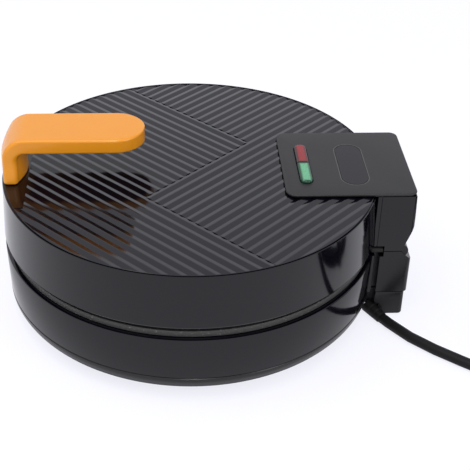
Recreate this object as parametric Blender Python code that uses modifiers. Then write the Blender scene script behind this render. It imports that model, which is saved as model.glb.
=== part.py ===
"""Cake pop maker: a round two-plate cooker with a hinged lid.

Units are metres and +Z is up. The handle is at -Y and the hinge at +Y, and Z = 0 is the
surface that the feet stand on. Every solid is made around the upright axis of the round body,
and one empty moves the whole model so that the box of the rigid pieces is centred on the origin.
"""

import math

import bpy
import bmesh
from mathutils import Matrix, Vector

# Clearances and mesh settings
CLEARANCE = 0.0003
OVERRUN = 0.004
WELD_DISTANCE = 0.000001
BODY_STEPS = 48
SMALL_STEPS = 16
BORE_STEPS = 16
HOLE_STEPS = 12

# Round body, from the feet up
RIM_RADIUS = 0.1116
FOOT_HEIGHT = 0.0042
FOOT_RADIUS = 0.008
FOOT_EDGE = 0.0008
COVER_FLOOR = 0.0045
COVER_WALL = 0.0022
COVER_FLAT_SETBACK = 0.0136
COVER_FLAT_RADIUS = RIM_RADIUS - COVER_FLAT_SETBACK
COVER_SHOULDER_HEIGHT = 0.008
COVER_SHOULDER_SETBACK = 0.0056
COVER_SHOULDER_RADIUS = RIM_RADIUS - COVER_SHOULDER_SETBACK
SEAM_HEIGHT = 0.0176
SEAM_SETBACK = 0.0006
SEAM_RADIUS = RIM_RADIUS - SEAM_SETBACK
SEAM_CHAMFER = 0.0004
BASE_DEPTH = 0.0272
BASE_RIM_HEIGHT = SEAM_HEIGHT + BASE_DEPTH
BODY_WALL = 0.0026
LEDGE_WIDTH = 0.0131
LEDGE_INNER_RADIUS = RIM_RADIUS - LEDGE_WIDTH
LEDGE_THICKNESS = 0.003
BASE_EDGE = 0.0006

# Lid shell
LID_GAP = 0.0077
LID_DEPTH = 0.0326
LID_EDGE_HEIGHT = BASE_RIM_HEIGHT + LID_GAP
LID_TOP_HEIGHT = LID_EDGE_HEIGHT + LID_DEPTH
LID_TOP_SETBACK = 0.0016
LID_TOP_RADIUS = RIM_RADIUS - LID_TOP_SETBACK
LID_TOP_THICKNESS = 0.003
LID_EDGE = 0.0008

# Zigzag ribs on the lid
RIB_PITCH = 0.00625
RIB_DEPTH = 0.00046
RIB_CREST_TRIM = 0.00004
RIB_RISE_SHARE = 0.56
RIB_MARGIN = 0.0016
RIBS_BETWEEN_RUNS = 14
ZIGZAG_FAR_OFFSET = 0.0453
ZIGZAG_MIDDLE_OFFSET = 0.0042
RIB_AREA_OVERLAP = 0.00005
HANDLE_PAD_HALF_WIDTH = 0.043
HANDLE_PAD_DEPTH = 0.0155

# Cooking plates
PLATE_SETBACK = 0.0026
PLATE_RADIUS = RIM_RADIUS - PLATE_SETBACK
UPPER_PLATE_SETBACK = 0.0036
UPPER_PLATE_RADIUS = RIM_RADIUS - UPPER_PLATE_SETBACK
PLATE_THICKNESS = 0.003
PLATE_GAP_HALF = 0.00015
CUP_SHARE = 0.1792
CUP_RADIUS = RIM_RADIUS * CUP_SHARE
CUP_WALL = 0.0028
INNER_CUPS = 3
OUTER_CUPS = 9
INNER_CUP_SHARE = 0.242
OUTER_CUP_SHARE = 0.663
INNER_CUP_CIRCLE = RIM_RADIUS * INNER_CUP_SHARE
OUTER_CUP_CIRCLE = RIM_RADIUS * OUTER_CUP_SHARE
INNER_CUP_TURN = math.radians(90)
OUTER_CUP_TURN = math.radians(10)
CUP_SEGMENTS = 16
DOME_SEGMENTS = 10
PLATE_BOSS_RADIUS = 0.004
PLATE_BOSSES = 3
PLATE_BOSS_TURN = math.radians(30)

# Heating elements and reflectors
ELEMENT_SHARE = 0.4525
ELEMENT_CIRCLE = RIM_RADIUS * ELEMENT_SHARE
ELEMENT_RADIUS = 0.0033
ELEMENT_DEPTH_SETBACK = 0.0022
ELEMENT_DEPTH = CUP_RADIUS - ELEMENT_DEPTH_SETBACK
ELEMENT_BEND = 0.008
ELEMENT_TAIL_SETBACK = 0.0145
ELEMENT_TAIL_RADIUS = LEDGE_INNER_RADIUS - ELEMENT_TAIL_SETBACK
ELEMENT_TAIL_TURN = math.radians(20)
REFLECTOR_SETBACK = 0.0095
REFLECTOR_RADIUS = LEDGE_INNER_RADIUS - REFLECTOR_SETBACK
REFLECTOR_THICKNESS = 0.0009
REFLECTOR_RIM = 0.0035

# Thermostat and fuse under the lower plate
THERMOSTAT_SETBACK = 0.0090
THERMOSTAT_CIRCLE = LEDGE_INNER_RADIUS - THERMOSTAT_SETBACK
THERMOSTAT_SHARE = 0.0582
THERMOSTAT_RADIUS = RIM_RADIUS * THERMOSTAT_SHARE
THERMOSTAT_HEIGHT = 0.0085
THERMOSTAT_NECK_SETBACK = 0.0020
THERMOSTAT_NECK_RADIUS = THERMOSTAT_RADIUS - THERMOSTAT_NECK_SETBACK
THERMOSTAT_NECK_HEIGHT = 0.002
FUSE_RADIUS = 0.0026
FUSE_SETBACK = 0.0065
FUSE_CIRCLE = LEDGE_INNER_RADIUS - FUSE_SETBACK
FUSE_SHARE = 0.1075
FUSE_LENGTH = RIM_RADIUS * FUSE_SHARE
FUSE_TIP_RADIUS = 0.0012
FUSE_TIP_LENGTH = 0.002

# Fasteners
SCREW_SETBACK = 0.003
SCREW_CIRCLE = LEDGE_INNER_RADIUS - SCREW_SETBACK
SCREW_TURNS = [math.radians(turn) for turn in (30, 150, 230, 310)]
SCREW_RADIUS = 0.0015
SCREW_HEAD_RADIUS = 0.0032
SCREW_HEAD_HEIGHT = 0.0022
SCREW_LENGTH = 0.016
SCREW_DEPTH = 0.0035
POST_RADIUS = 0.0045
COVER_BOSS_RADIUS = 0.006
HANDLE_SCREW_RADIUS = 0.002
HANDLE_SCREW_HEAD_RADIUS = 0.004
HANDLE_SCREW_LENGTH = 0.014
HANDLE_SCREW_SPACING = 0.018
HANDLE_SCREW_INSET = 0.0065

# Feet
FRONT_FOOT_X_SETBACK = 0.0556
FRONT_FOOT_X = RIM_RADIUS - FRONT_FOOT_X_SETBACK
FRONT_FOOT_Y_SETBACK = 0.0496
FRONT_FOOT_Y = RIM_RADIUS - FRONT_FOOT_Y_SETBACK
REAR_FOOT_X = 0.022
REAR_FOOT_Y_SETBACK = 0.0166
REAR_FOOT_Y = RIM_RADIUS - REAR_FOOT_Y_SETBACK

# Vents in the bottom cover
VENT_COUNT = 8
VENT_SETBACK = 0.0405
VENT_CIRCLE = LEDGE_INNER_RADIUS - VENT_SETBACK
VENT_LENGTH = 0.026
VENT_WIDTH = 0.003

# Hinge blocks behind the round body
HINGE_HALF_WIDTH = 0.0365
HINGE_AXIS_Y_REACH = 0.0107
HINGE_AXIS_Y = RIM_RADIUS + HINGE_AXIS_Y_REACH
HINGE_AXIS_Z_REACH = 0.0025
HINGE_AXIS_Z = BASE_RIM_HEIGHT + HINGE_AXIS_Z_REACH
SPLIT_GAP_HALF = 0.00025
BLOCK_REAR_Y_REACH = 0.0173
BLOCK_REAR_Y = RIM_RADIUS + BLOCK_REAR_Y_REACH
UPPER_BLOCK_REAR_Y_REACH = 0.0160
UPPER_BLOCK_REAR_Y = RIM_RADIUS + UPPER_BLOCK_REAR_Y_REACH
UPPER_BLOCK_BULGE = 0.0011
UPPER_CHAMFER_HEIGHT = 0.0175
LOWER_CHAMFER_HEIGHT = 0.0064
LOWER_BLOCK_FRONT_Y_SETBACK = 0.0021
LOWER_BLOCK_FRONT_Y = RIM_RADIUS - LOWER_BLOCK_FRONT_Y_SETBACK
BOSS_FACE_Y_SETBACK = 0.0046
BOSS_FACE_Y = RIM_RADIUS - BOSS_FACE_Y_SETBACK
BOSS_EDGE = 0.0012
NECK_HALF_WIDTH_SETBACK = 0.0055
NECK_HALF_WIDTH = HINGE_HALF_WIDTH - NECK_HALF_WIDTH_SETBACK
BLOCK_CORNER_RADIUS = 0.0028
BLOCK_FRONT_CORNER_RADIUS = 0.0006
BLOCK_FRONT_Y_SETBACK = 0.0068
BLOCK_FRONT_Y = RIM_RADIUS - BLOCK_FRONT_Y_SETBACK
BLOCK_WALL = 0.003
SIDE_GROOVE_Y_SETBACK = 0.0045
SIDE_GROOVE_Y = RIM_RADIUS - SIDE_GROOVE_Y_SETBACK
SIDE_GROOVE_WIDTH = 0.0006
SIDE_GROOVE_DEPTH = 0.0008
NOTCH_DEPTH_Y_REACH = 0.0004
NOTCH_DEPTH_Y = RIM_RADIUS + NOTCH_DEPTH_Y_REACH
NOTCH_HALF_HEIGHT = 0.0037
NOTCH_LOW = HINGE_AXIS_Z - NOTCH_HALF_HEIGHT
NOTCH_HIGH = HINGE_AXIS_Z + NOTCH_HALF_HEIGHT
COVER_INSET = 0.0011
COVER_BLOCK_FLOOR = 0.0004

# Knuckles and pin
PIN_RADIUS = 0.0018
PIN_PLAY = 0.00005
KNUCKLE_RADIUS = 0.0042
KNUCKLE_ROOM = 0.0004
KNUCKLE_END_SETBACK = 0.0004
KNUCKLE_END = HINGE_HALF_WIDTH - KNUCKLE_END_SETBACK
PIN_HALF_LENGTH_SETBACK = 0.0025
PIN_HALF_LENGTH = HINGE_HALF_WIDTH - PIN_HALF_LENGTH_SETBACK
MIDDLE_KNUCKLE_END = 0.0115
SIDE_KNUCKLE_START_SETBACK = 0.0110
SIDE_KNUCKLE_START = HINGE_HALF_WIDTH - SIDE_KNUCKLE_START_SETBACK

# Lead sleeves seen in the notches of the hinge
SLEEVE_RADIUS = 0.0018
SLEEVE_X_SETBACK = 0.0023
SLEEVE_X = HINGE_HALF_WIDTH - SLEEVE_X_SETBACK
SLEEVE_Z = HINGE_AXIS_Z
SLEEVE_PLATE_GAP = 0.0004
SLEEVE_NEAR_X = SLEEVE_X - SLEEVE_RADIUS
SLEEVE_FRONT_Y = math.sqrt((PLATE_RADIUS + SLEEVE_PLATE_GAP) ** 2 - SLEEVE_NEAR_X ** 2)

# Terminal block in the lower hinge housing
TERMINAL_LENGTH = 0.030
TERMINAL_DEPTH = 0.008
TERMINAL_HEIGHT = 0.012
TERMINAL_WELLS = 3
TERMINAL_WELL_RADIUS = 0.0022
TERMINAL_WELL_DEPTH = 0.005

# Panel with the two lamps and a bare field
PANEL_THICKNESS = 0.0016
PANEL_FRONT_Y_SETBACK = 0.0590
PANEL_FRONT_Y = RIM_RADIUS - PANEL_FRONT_Y_SETBACK
PANEL_REAR_OVERHANG = 0.0005
PANEL_FRONT_CORNER = 0.006
PANEL_REAR_CORNER = 0.004
PANEL_EDGE = 0.0004
LENS_HALF_LENGTH = 0.0217
LENS_WIDTH = 0.0075
LENS_Y_REACH = 0.0130
LENS_Y = PANEL_FRONT_Y + LENS_Y_REACH
LENS_X = 0.0024
LENS_PROUD = 0.0018
LENS_EDGE = 0.0009
LENS_SPLIT_GAP = 0.0004
LAMP_RADIUS = 0.0023
LAMP_FOOT_ROOM = 0.00165
FIELD_HALF_LENGTH = 0.0233
FIELD_WIDTH = 0.0161
FIELD_X = 0.0024
FIELD_Y_REACH = 0.0416
FIELD_Y = PANEL_FRONT_Y + FIELD_Y_REACH
FIELD_DEPTH = 0.0004
FIELD_GROOVE_WIDTH = 0.0006

# Handle
HANDLE_RISE = 0.0273
HANDLE_REACH = 0.0806
HANDLE_SETBACK = 0.0038
HANDLE_TOP_HEIGHT = LID_TOP_HEIGHT + HANDLE_RISE
HANDLE_GRIP_THICKNESS = 0.0088
HANDLE_LEG_THICKNESS = 0.0085
HANDLE_GRIP_HALF_WIDTH = 0.0170
HANDLE_FOOT_HALF_WIDTH = 0.0194
HANDLE_OUTER_BEND = 0.0135
HANDLE_OUTER_Y = HANDLE_SETBACK - RIM_RADIUS
HANDLE_TIP_Y = HANDLE_OUTER_Y + HANDLE_REACH
HANDLE_OUTER_BULGE = 0.0017
HANDLE_INNER_BULGE = 0.0040
HANDLE_CORNER = 0.0013
HANDLE_BULGE_FADE_SHARE = 0.625
HANDLE_END_TURN = math.radians(86)
HANDLE_BEND_STATIONS = 7
HANDLE_END_STATIONS = 7

# Mains lead, with its route given from the start of the strain relief
CORD_RADIUS = 0.0032
CORD_SAMPLES_PER_SPAN = 24
CORD_ROUTE = [
    (0.0218, 0.0143),
    (0.0315, 0.0225),
    (0.0405, 0.0321),
    (0.0483, 0.0416),
    (0.0551, 0.0506),
    (0.0637, 0.0622),
    (0.0725, 0.0746),
    (0.0815, 0.0878),
]
CORD_SETTLE_POINTS = 2
RELIEF_START_X = 0.0325
RELIEF_START_Y_SETBACK = 0.0050
RELIEF_START_Y = RIM_RADIUS - RELIEF_START_Y_SETBACK
RELIEF_LENGTH = 0.013
RELIEF_TURN = math.radians(33)
RELIEF_ROOT_RADIUS = 0.0043
RELIEF_TIP_RADIUS = 0.0036
RELIEF_START_HEIGHT = 0.0047
RELIEF_RINGS = 2
RELIEF_GROOVE = 0.0004

# Coil of the unseen lead
COIL_RADIUS = 0.0392
COIL_STEP = 0.0072
COIL_LAYER_STEP = 0.0072
COIL_LAYER_TURNS = 1.45
COIL_CLIMB_DIP = 0.0010
COIL_POINTS_PER_TURN = 24
TAIL_STRAIGHT = 0.030
TAIL_BEND_RADIUS = 0.0288
TAIL_SETTLE_SHARE = 0.8
TAIL_POINTS = 12
TIE_THICKNESS = 0.0009
TIE_WIDTH = 0.006
TIE_TURN = math.radians(240)

# Plug
PLUG_LENGTH = 0.036
PLUG_WIDTH = 0.034
PLUG_THICKNESS = 0.020
PLUG_NECK_WIDTH = 0.018
PLUG_EDGE = 0.003
PLUG_RELIEF_LENGTH = 0.024
PLUG_RELIEF_ROOT_RADIUS = 0.0058
PLUG_RELIEF_TIP_RADIUS = 0.0040
PIN_SPACING = 0.019
PLUG_PIN_RADIUS = 0.0024
PLUG_PIN_LENGTH = 0.019
PLUG_PIN_SEAT = 0.006

# Colours and surface values of each material: colour, roughness, metallic
GLOSS_BLACK = ((0.012, 0.012, 0.013), 0.08, 0.0)
SATIN_BLACK = ((0.020, 0.020, 0.021), 0.35, 0.0)
MATT_BLACK = ((0.028, 0.028, 0.029), 0.55, 0.0)
NON_STICK = ((0.045, 0.044, 0.043), 0.42, 0.6)
ORANGE = ((0.86, 0.34, 0.05), 0.30, 0.0)
RED_LENS = ((0.55, 0.03, 0.03), 0.12, 0.0)
GREEN_LENS = ((0.05, 0.42, 0.18), 0.12, 0.0)
LAMP_GLASS = ((0.75, 0.72, 0.66), 0.10, 0.0)
STEEL = ((0.62, 0.61, 0.59), 0.28, 1.0)
ALUMINIUM = ((0.72, 0.72, 0.72), 0.38, 1.0)
BLACK_RUBBER = ((0.018, 0.018, 0.018), 0.75, 0.0)
LEAD_BLACK = ((0.016, 0.016, 0.016), 0.45, 0.0)
CERAMIC = ((0.78, 0.75, 0.68), 0.45, 0.0)
SLEEVE_GREY = ((0.16, 0.16, 0.16), 0.60, 0.0)
BRASS_PIN = ((0.70, 0.68, 0.62), 0.25, 1.0)

# Places worked out from the sizes above
PARTING_HEIGHT = BASE_RIM_HEIGHT + CLEARANCE + PLATE_THICKNESS + CUP_WALL / 4 + PLATE_GAP_HALF
LOWER_LAND = PARTING_HEIGHT - PLATE_GAP_HALF
UPPER_LAND = PARTING_HEIGHT + PLATE_GAP_HALF
DOME_RADIUS = CUP_RADIUS + CUP_WALL
BODY_CENTRE_Y = (RIM_RADIUS - BLOCK_REAR_Y) / 2
PANEL_UNDERSIDE = LID_TOP_HEIGHT + CLEARANCE
PANEL_TOP = PANEL_UNDERSIDE + PANEL_THICKNESS
PANEL_REAR_Y = UPPER_BLOCK_REAR_Y + PANEL_REAR_OVERHANG
UPPER_FLANGE_TOP = LID_EDGE_HEIGHT - CLEARANCE
CORD_LIFT = TIE_THICKNESS + CLEARANCE
FLAT = Matrix.Identity(4)
SIDEWAYS = Matrix(((0, 0, 1, 0), (1, 0, 0, 0), (0, 1, 0, 0), (0, 0, 0, 1)))

parts = None
cutters = None
body_empty = None
lid_empty = None


def clear_scene():
    """Removes the objects of the scene that the script runs in."""
    for obj in list(bpy.data.objects):
        bpy.data.objects.remove(obj)


def make_collection(name):
    collection = bpy.data.collections.new(name)
    bpy.context.scene.collection.children.link(collection)
    return collection


def make_empty(name, location, parent=None):
    empty = bpy.data.objects.new(name, None)
    bpy.context.scene.collection.objects.link(empty)
    empty.location = location
    empty.parent = parent
    return empty


def make_material(name, look):
    colour, roughness, metallic = look
    material = bpy.data.materials.new(name)
    material.use_nodes = True
    shader = material.node_tree.nodes["Principled BSDF"]
    shader.inputs["Base Color"].default_value = (*colour, 1.0)
    shader.inputs["Roughness"].default_value = roughness
    shader.inputs["Metallic"].default_value = metallic
    material.diffuse_color = (*colour, 1.0)
    return material


def new_object(name, mesh):
    obj = bpy.data.objects.new(name, mesh)
    cutters.objects.link(obj)
    obj.parent = body_empty
    obj.hide_render = True
    obj.display_type = "WIRE"
    return obj


def as_part(obj, look, on_lid=False):
    """Turns a solid into a piece of the product, carried by the base or by the lid."""
    cutters.objects.unlink(obj)
    parts.objects.link(obj)
    obj.hide_render = False
    obj.display_type = "TEXTURED"
    obj.data.materials.clear()
    obj.data.materials.append(make_material(obj.name, look))
    obj.data.shade_smooth()
    obj.data.set_sharp_from_angle(angle=math.radians(30))
    if on_lid:
        obj.parent = lid_empty
        obj.location = -lid_empty.location
    return obj


def from_bmesh(name, bm):
    bmesh.ops.recalc_face_normals(bm, faces=bm.faces)
    mesh = bpy.data.meshes.new(name)
    bm.to_mesh(mesh)
    bm.free()
    return new_object(name, mesh)


def evaluated_bmesh(obj):
    """Reads an object with its modifiers into a welded bmesh and removes the object."""
    bpy.context.view_layer.update()
    depsgraph = bpy.context.evaluated_depsgraph_get()
    mesh = bpy.data.meshes.new_from_object(obj.evaluated_get(depsgraph))
    bm = bmesh.new()
    bm.from_mesh(mesh)
    bmesh.ops.remove_doubles(bm, verts=bm.verts, dist=WELD_DISTANCE)
    bpy.data.objects.remove(obj)
    bpy.data.meshes.remove(mesh)
    return bm


def turned(name, profile, steps=BODY_STEPS, closed=False):
    """Turns a profile of radius and height around Z, with whole flat faces where it meets the axis."""
    mesh = bpy.data.meshes.new(name + "_profile")
    count = len(profile)
    edges = [(i, i + 1) for i in range(count - 1)]
    if closed:
        edges.append((count - 1, 0))
    mesh.from_pydata([(radius, 0, height) for radius, height in profile], edges, [])
    obj = bpy.data.objects.new(name + "_profile", mesh)
    cutters.objects.link(obj)
    screw = obj.modifiers.new("Turn", "SCREW")
    screw.steps = steps
    screw.render_steps = steps
    screw.use_merge_vertices = True
    screw.merge_threshold = WELD_DISTANCE
    bm = evaluated_bmesh(obj)
    on_axis = [v for v in bm.verts if math.hypot(v.co.x, v.co.y) < WELD_DISTANCE and len(v.link_edges) > 2]
    bmesh.ops.dissolve_verts(bm, verts=on_axis)
    return from_bmesh(name, bm)


def prism(name, outline, low, high, frame=FLAT):
    """Extrudes a flat outline from low to high along the third axis of the frame."""
    curve = bpy.data.curves.new(name + "_outline", "CURVE")
    curve.dimensions = "2D"
    curve.fill_mode = "BOTH"
    curve.extrude = (high - low) / 2
    spline = curve.splines.new("POLY")
    spline.points.add(len(outline) - 1)
    for point, (u, v) in zip(spline.points, outline):
        point.co = (u, v, 0, 1)
    spline.use_cyclic_u = True
    obj = bpy.data.objects.new(name + "_outline", curve)
    cutters.objects.link(obj)
    bm = evaluated_bmesh(obj)
    bmesh.ops.translate(bm, verts=bm.verts, vec=(0, 0, (low + high) / 2))
    flat_angle = math.radians(0.5)
    bmesh.ops.dissolve_limit(bm, angle_limit=flat_angle, verts=bm.verts, edges=bm.edges)
    bmesh.ops.transform(bm, matrix=frame, verts=bm.verts)
    return from_bmesh(name, bm)


def box(name, low, high):
    """A box between two corners, from Blender's cube."""
    low, high = Vector(low), Vector(high)
    bm = bmesh.new()
    bmesh.ops.create_cube(bm, size=1)
    bmesh.ops.scale(bm, vec=high - low, verts=bm.verts)
    bmesh.ops.translate(bm, vec=(low + high) / 2, verts=bm.verts)
    return from_bmesh(name, bm)


def rod(name, start, end, radius, end_radius=None, segments=SMALL_STEPS):
    """A round bar, or a cone, between two points."""
    start, end = Vector(start), Vector(end)
    along = end - start
    bm = bmesh.new()
    bmesh.ops.create_cone(
        bm,
        cap_ends=True,
        segments=segments,
        radius1=radius,
        radius2=radius if end_radius is None else end_radius,
        depth=along.length,
    )
    turn = Vector((0, 0, 1)).rotation_difference(along).to_matrix().to_4x4()
    bmesh.ops.transform(bm, matrix=Matrix.Translation((start + end) / 2) @ turn, verts=bm.verts)
    return from_bmesh(name, bm)


def together(name, solids):
    """Joins solids that don't touch into one object, for use as one cutter."""
    bm = bmesh.new()
    for solid in solids:
        bm.from_mesh(solid.data)
        bpy.data.objects.remove(solid)
    return from_bmesh(name, bm)


def boolean(target, operation, *tools):
    """Adds one exact Boolean for each tool, which stays hidden in the cutters' collection."""
    for tool in tools:
        modifier = target.modifiers.new(tool.name, "BOOLEAN")
        modifier.operation = operation
        modifier.solver = "EXACT"
        modifier.object = tool
    return target


def cut(target, *tools):
    return boolean(target, "DIFFERENCE", *tools)


def fuse(target, *tools):
    return boolean(target, "UNION", *tools)


def keep_inside(target, *tools):
    return boolean(target, "INTERSECT", *tools)


def tube(name, points, radius, bevel_resolution=2):
    """A round tube along points, with flat ends, welded into one closed mesh."""
    curve = bpy.data.curves.new(name + "_line", "CURVE")
    curve.dimensions = "3D"
    curve.bevel_depth = radius
    curve.bevel_resolution = bevel_resolution
    curve.use_fill_caps = True
    spline = curve.splines.new("POLY")
    spline.points.add(len(points) - 1)
    for point, place in zip(spline.points, points):
        point.co = (*place, 1)
    obj = bpy.data.objects.new(name + "_line", curve)
    cutters.objects.link(obj)
    return from_bmesh(name, evaluated_bmesh(obj))


def arc_points(centre, radius, start, end, count):
    """Points on an arc, as pairs, with both ends."""
    turns = [start + (end - start) * i / (count - 1) for i in range(count)]
    return [(centre[0] + radius * math.cos(a), centre[1] + radius * math.sin(a)) for a in turns]


def rounded_rectangle(x_low, x_high, y_low, y_high, low_radius, high_radius, count=5):
    """A rectangle with one corner radius at its low Y end and one at its high Y end."""
    quarter = math.pi / 2
    points = arc_points((x_high - high_radius, y_high - high_radius), high_radius, 0, quarter, count)
    points += arc_points((x_low + high_radius, y_high - high_radius), high_radius, quarter, math.pi, count)
    points += arc_points((x_low + low_radius, y_low + low_radius), low_radius, math.pi, 3 * quarter, count)
    points += arc_points((x_high - low_radius, y_low + low_radius), low_radius, 3 * quarter, math.tau, count)
    return points


def obround(centre_x, centre_y, half_length, width, count=9):
    """A slot outline that runs along X with half-round ends."""
    quarter = math.pi / 2
    radius = width / 2
    reach = half_length - radius
    points = arc_points((centre_x + reach, centre_y), radius, -quarter, quarter, count)
    points += arc_points((centre_x - reach, centre_y), radius, quarter, 3 * quarter, count)
    return points


def polar(radius, turn, height=0.0):
    return Vector((radius * math.cos(turn), radius * math.sin(turn), height))


def around_base(extra, low, high, name):
    """The outside of the base's wall, grown by a clearance, as a cutter."""
    profile = [(0, high), (RIM_RADIUS + extra, high), (RIM_RADIUS + extra, low), (0, low)]
    return turned(name, profile)


def make_feet():
    """Four rubber feet under the bottom cover."""
    places = {
        "front_left_foot": (-FRONT_FOOT_X, -FRONT_FOOT_Y),
        "front_right_foot": (FRONT_FOOT_X, -FRONT_FOOT_Y),
        "rear_left_foot": (-REAR_FOOT_X, REAR_FOOT_Y),
        "rear_right_foot": (REAR_FOOT_X, REAR_FOOT_Y),
    }
    profile = [
        (0, FOOT_HEIGHT),
        (FOOT_RADIUS, FOOT_HEIGHT),
        (FOOT_RADIUS, FOOT_EDGE),
        (FOOT_RADIUS - FOOT_EDGE, 0),
        (0, 0),
    ]
    for name, place in places.items():
        foot = turned(name, profile, SMALL_STEPS)
        foot.data.transform(Matrix.Translation((*place, 0)))
        as_part(foot, BLACK_RUBBER)


def cover_profile():
    """Half of the bottom cover's section: inside from the axis up, then outside down to the axis."""
    top = SEAM_HEIGHT - CLEARANCE
    inner_floor = COVER_FLOOR + COVER_WALL
    middle_height = (top + COVER_SHOULDER_HEIGHT) / 2
    middle_radius = (2 * SEAM_RADIUS + COVER_SHOULDER_RADIUS) / 3
    return [
        (0, inner_floor),
        (COVER_FLAT_RADIUS - COVER_WALL / 2, inner_floor),
        (COVER_SHOULDER_RADIUS - COVER_WALL, COVER_SHOULDER_HEIGHT + COVER_WALL / 2),
        (middle_radius - COVER_WALL, middle_height),
        (SEAM_RADIUS - BODY_WALL, top),
        (SEAM_RADIUS - SEAM_CHAMFER, top),
        (SEAM_RADIUS, top - SEAM_CHAMFER),
        (middle_radius, middle_height),
        (COVER_SHOULDER_RADIUS, COVER_SHOULDER_HEIGHT),
        (COVER_FLAT_RADIUS, COVER_FLOOR),
        (0, COVER_FLOOR),
    ]


def make_bottom_cover():
    """The dished bottom, with the foot of the hinge block, screw bosses and vents."""
    top = SEAM_HEIGHT - CLEARANCE
    rear = BLOCK_REAR_Y - COVER_INSET
    half_width = HINGE_HALF_WIDTH - COVER_INSET / 2
    front = LOWER_BLOCK_FRONT_Y + CLEARANCE
    corner = BLOCK_CORNER_RADIUS
    block_outline = rounded_rectangle(-half_width, half_width, front, rear, corner / 4, corner)
    cover = turned("bottom_cover", cover_profile())
    cover_block = prism("cover_block", block_outline, COVER_BLOCK_FLOOR, top - CLEARANCE)
    cover_neck = box(
        "cover_neck",
        (-NECK_HALF_WIDTH, COVER_FLAT_RADIUS - 2 * BODY_WALL, COVER_FLOOR + COVER_WALL / 2),
        (NECK_HALF_WIDTH, front + OVERRUN / 2, top - 2 * CLEARANCE),
    )
    bosses = [
        rod(f"cover_boss_{i}", polar(SCREW_CIRCLE, turn, COVER_FLOOR + COVER_WALL / 2),
            polar(SCREW_CIRCLE, turn, top), COVER_BOSS_RADIUS, segments=HOLE_STEPS)
        for i, turn in enumerate(SCREW_TURNS)
    ]
    fuse(cover, cover_block, cover_neck, together("cover_bosses", bosses))
    hollow = box(
        "cover_block_hollow",
        (-half_width + BLOCK_WALL, front + BLOCK_WALL, COVER_BLOCK_FLOOR + BLOCK_WALL),
        (half_width - BLOCK_WALL, rear - BLOCK_WALL, top + OVERRUN),
    )
    head_top = COVER_FLOOR + SCREW_DEPTH + CLEARANCE
    wells = [
        rod(f"screw_well_{i}", polar(SCREW_CIRCLE, turn, -OVERRUN), polar(SCREW_CIRCLE, turn, head_top),
            SCREW_HEAD_RADIUS + CLEARANCE, segments=HOLE_STEPS)
        for i, turn in enumerate(SCREW_TURNS)
    ]
    holes = [
        rod(f"screw_hole_{i}", polar(SCREW_CIRCLE, turn, 0), polar(SCREW_CIRCLE, turn, top + OVERRUN),
            SCREW_RADIUS + CLEARANCE, segments=HOLE_STEPS)
        for i, turn in enumerate(SCREW_TURNS)
    ]
    vents = [vent_slot(i) for i in range(VENT_COUNT)]
    cut(cover, hollow, together("screw_wells", wells), together("screw_holes", holes))
    cut(cover, together("vents", vents), relief_pocket())
    as_part(cover, SATIN_BLACK)


def vent_slot(index):
    """One slot through the cover's floor, square to the radius that it lies on."""
    turn = math.tau * (index + 0.5) / VENT_COUNT
    outline = obround(0, 0, VENT_LENGTH / 2, VENT_WIDTH, 4)
    slot = prism(f"vent_{index}", outline, COVER_FLOOR - OVERRUN, COVER_FLOOR + COVER_WALL + OVERRUN)
    place = Matrix.Translation(polar(VENT_CIRCLE, turn)) @ Matrix.Rotation(turn + math.pi / 2, 4, "Z")
    slot.data.transform(place)
    return slot


def make_base_shell():
    """The base's wall with its inner ledge, screw posts and the flat behind it for the hinge."""
    low = SEAM_HEIGHT
    profile = [
        (RIM_RADIUS - BASE_EDGE, BASE_RIM_HEIGHT),
        (RIM_RADIUS, BASE_RIM_HEIGHT - BASE_EDGE),
        (SEAM_RADIUS, low + SEAM_CHAMFER),
        (SEAM_RADIUS - SEAM_CHAMFER, low),
        (SEAM_RADIUS - BODY_WALL, low),
        (RIM_RADIUS - BODY_WALL, BASE_RIM_HEIGHT - LEDGE_THICKNESS),
        (LEDGE_INNER_RADIUS, BASE_RIM_HEIGHT - LEDGE_THICKNESS),
        (LEDGE_INNER_RADIUS, BASE_RIM_HEIGHT),
    ]
    shell = turned("base_shell", profile, closed=True)
    flat_low = LEDGE_INNER_RADIUS
    boss_outline = rounded_rectangle(-HINGE_HALF_WIDTH, HINGE_HALF_WIDTH, flat_low, BOSS_FACE_Y,
                                     BOSS_EDGE, BOSS_EDGE, 3)
    boss = prism("hinge_flat", boss_outline, low, BASE_RIM_HEIGHT - BASE_EDGE)
    post_top = BASE_RIM_HEIGHT - LEDGE_THICKNESS / 2
    posts = [
        rod(f"post_{i}", polar(SCREW_CIRCLE, turn, low), polar(SCREW_CIRCLE, turn, post_top), POST_RADIUS,
            segments=HOLE_STEPS)
        for i, turn in enumerate(SCREW_TURNS)
    ]
    hole_top = COVER_FLOOR + SCREW_DEPTH + SCREW_LENGTH + CLEARANCE
    holes = [
        rod(f"post_hole_{i}", polar(SCREW_CIRCLE, turn, low - OVERRUN), polar(SCREW_CIRCLE, turn, hole_top),
            SCREW_RADIUS + CLEARANCE, segments=HOLE_STEPS)
        for i, turn in enumerate(SCREW_TURNS)
    ]
    fuse(shell, boss, together("posts", posts))
    cut(shell, together("post_holes", holes))
    as_part(shell, GLOSS_BLACK)


def make_bottom_screws():
    """The four screws that hold the bottom cover to the posts."""
    shoulder = COVER_FLOOR + SCREW_DEPTH
    profile = [
        (0, shoulder + SCREW_LENGTH),
        (SCREW_RADIUS, shoulder + SCREW_LENGTH),
        (SCREW_RADIUS, shoulder),
        (SCREW_HEAD_RADIUS, shoulder),
        (SCREW_HEAD_RADIUS, shoulder - SCREW_HEAD_HEIGHT),
        (0, shoulder - SCREW_HEAD_HEIGHT),
    ]
    for index, turn in enumerate(SCREW_TURNS):
        screw = turned(f"bottom_screw_{index + 1}", profile, HOLE_STEPS)
        screw.data.transform(Matrix.Translation(polar(SCREW_CIRCLE, turn)))
        as_part(screw, STEEL)


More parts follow.
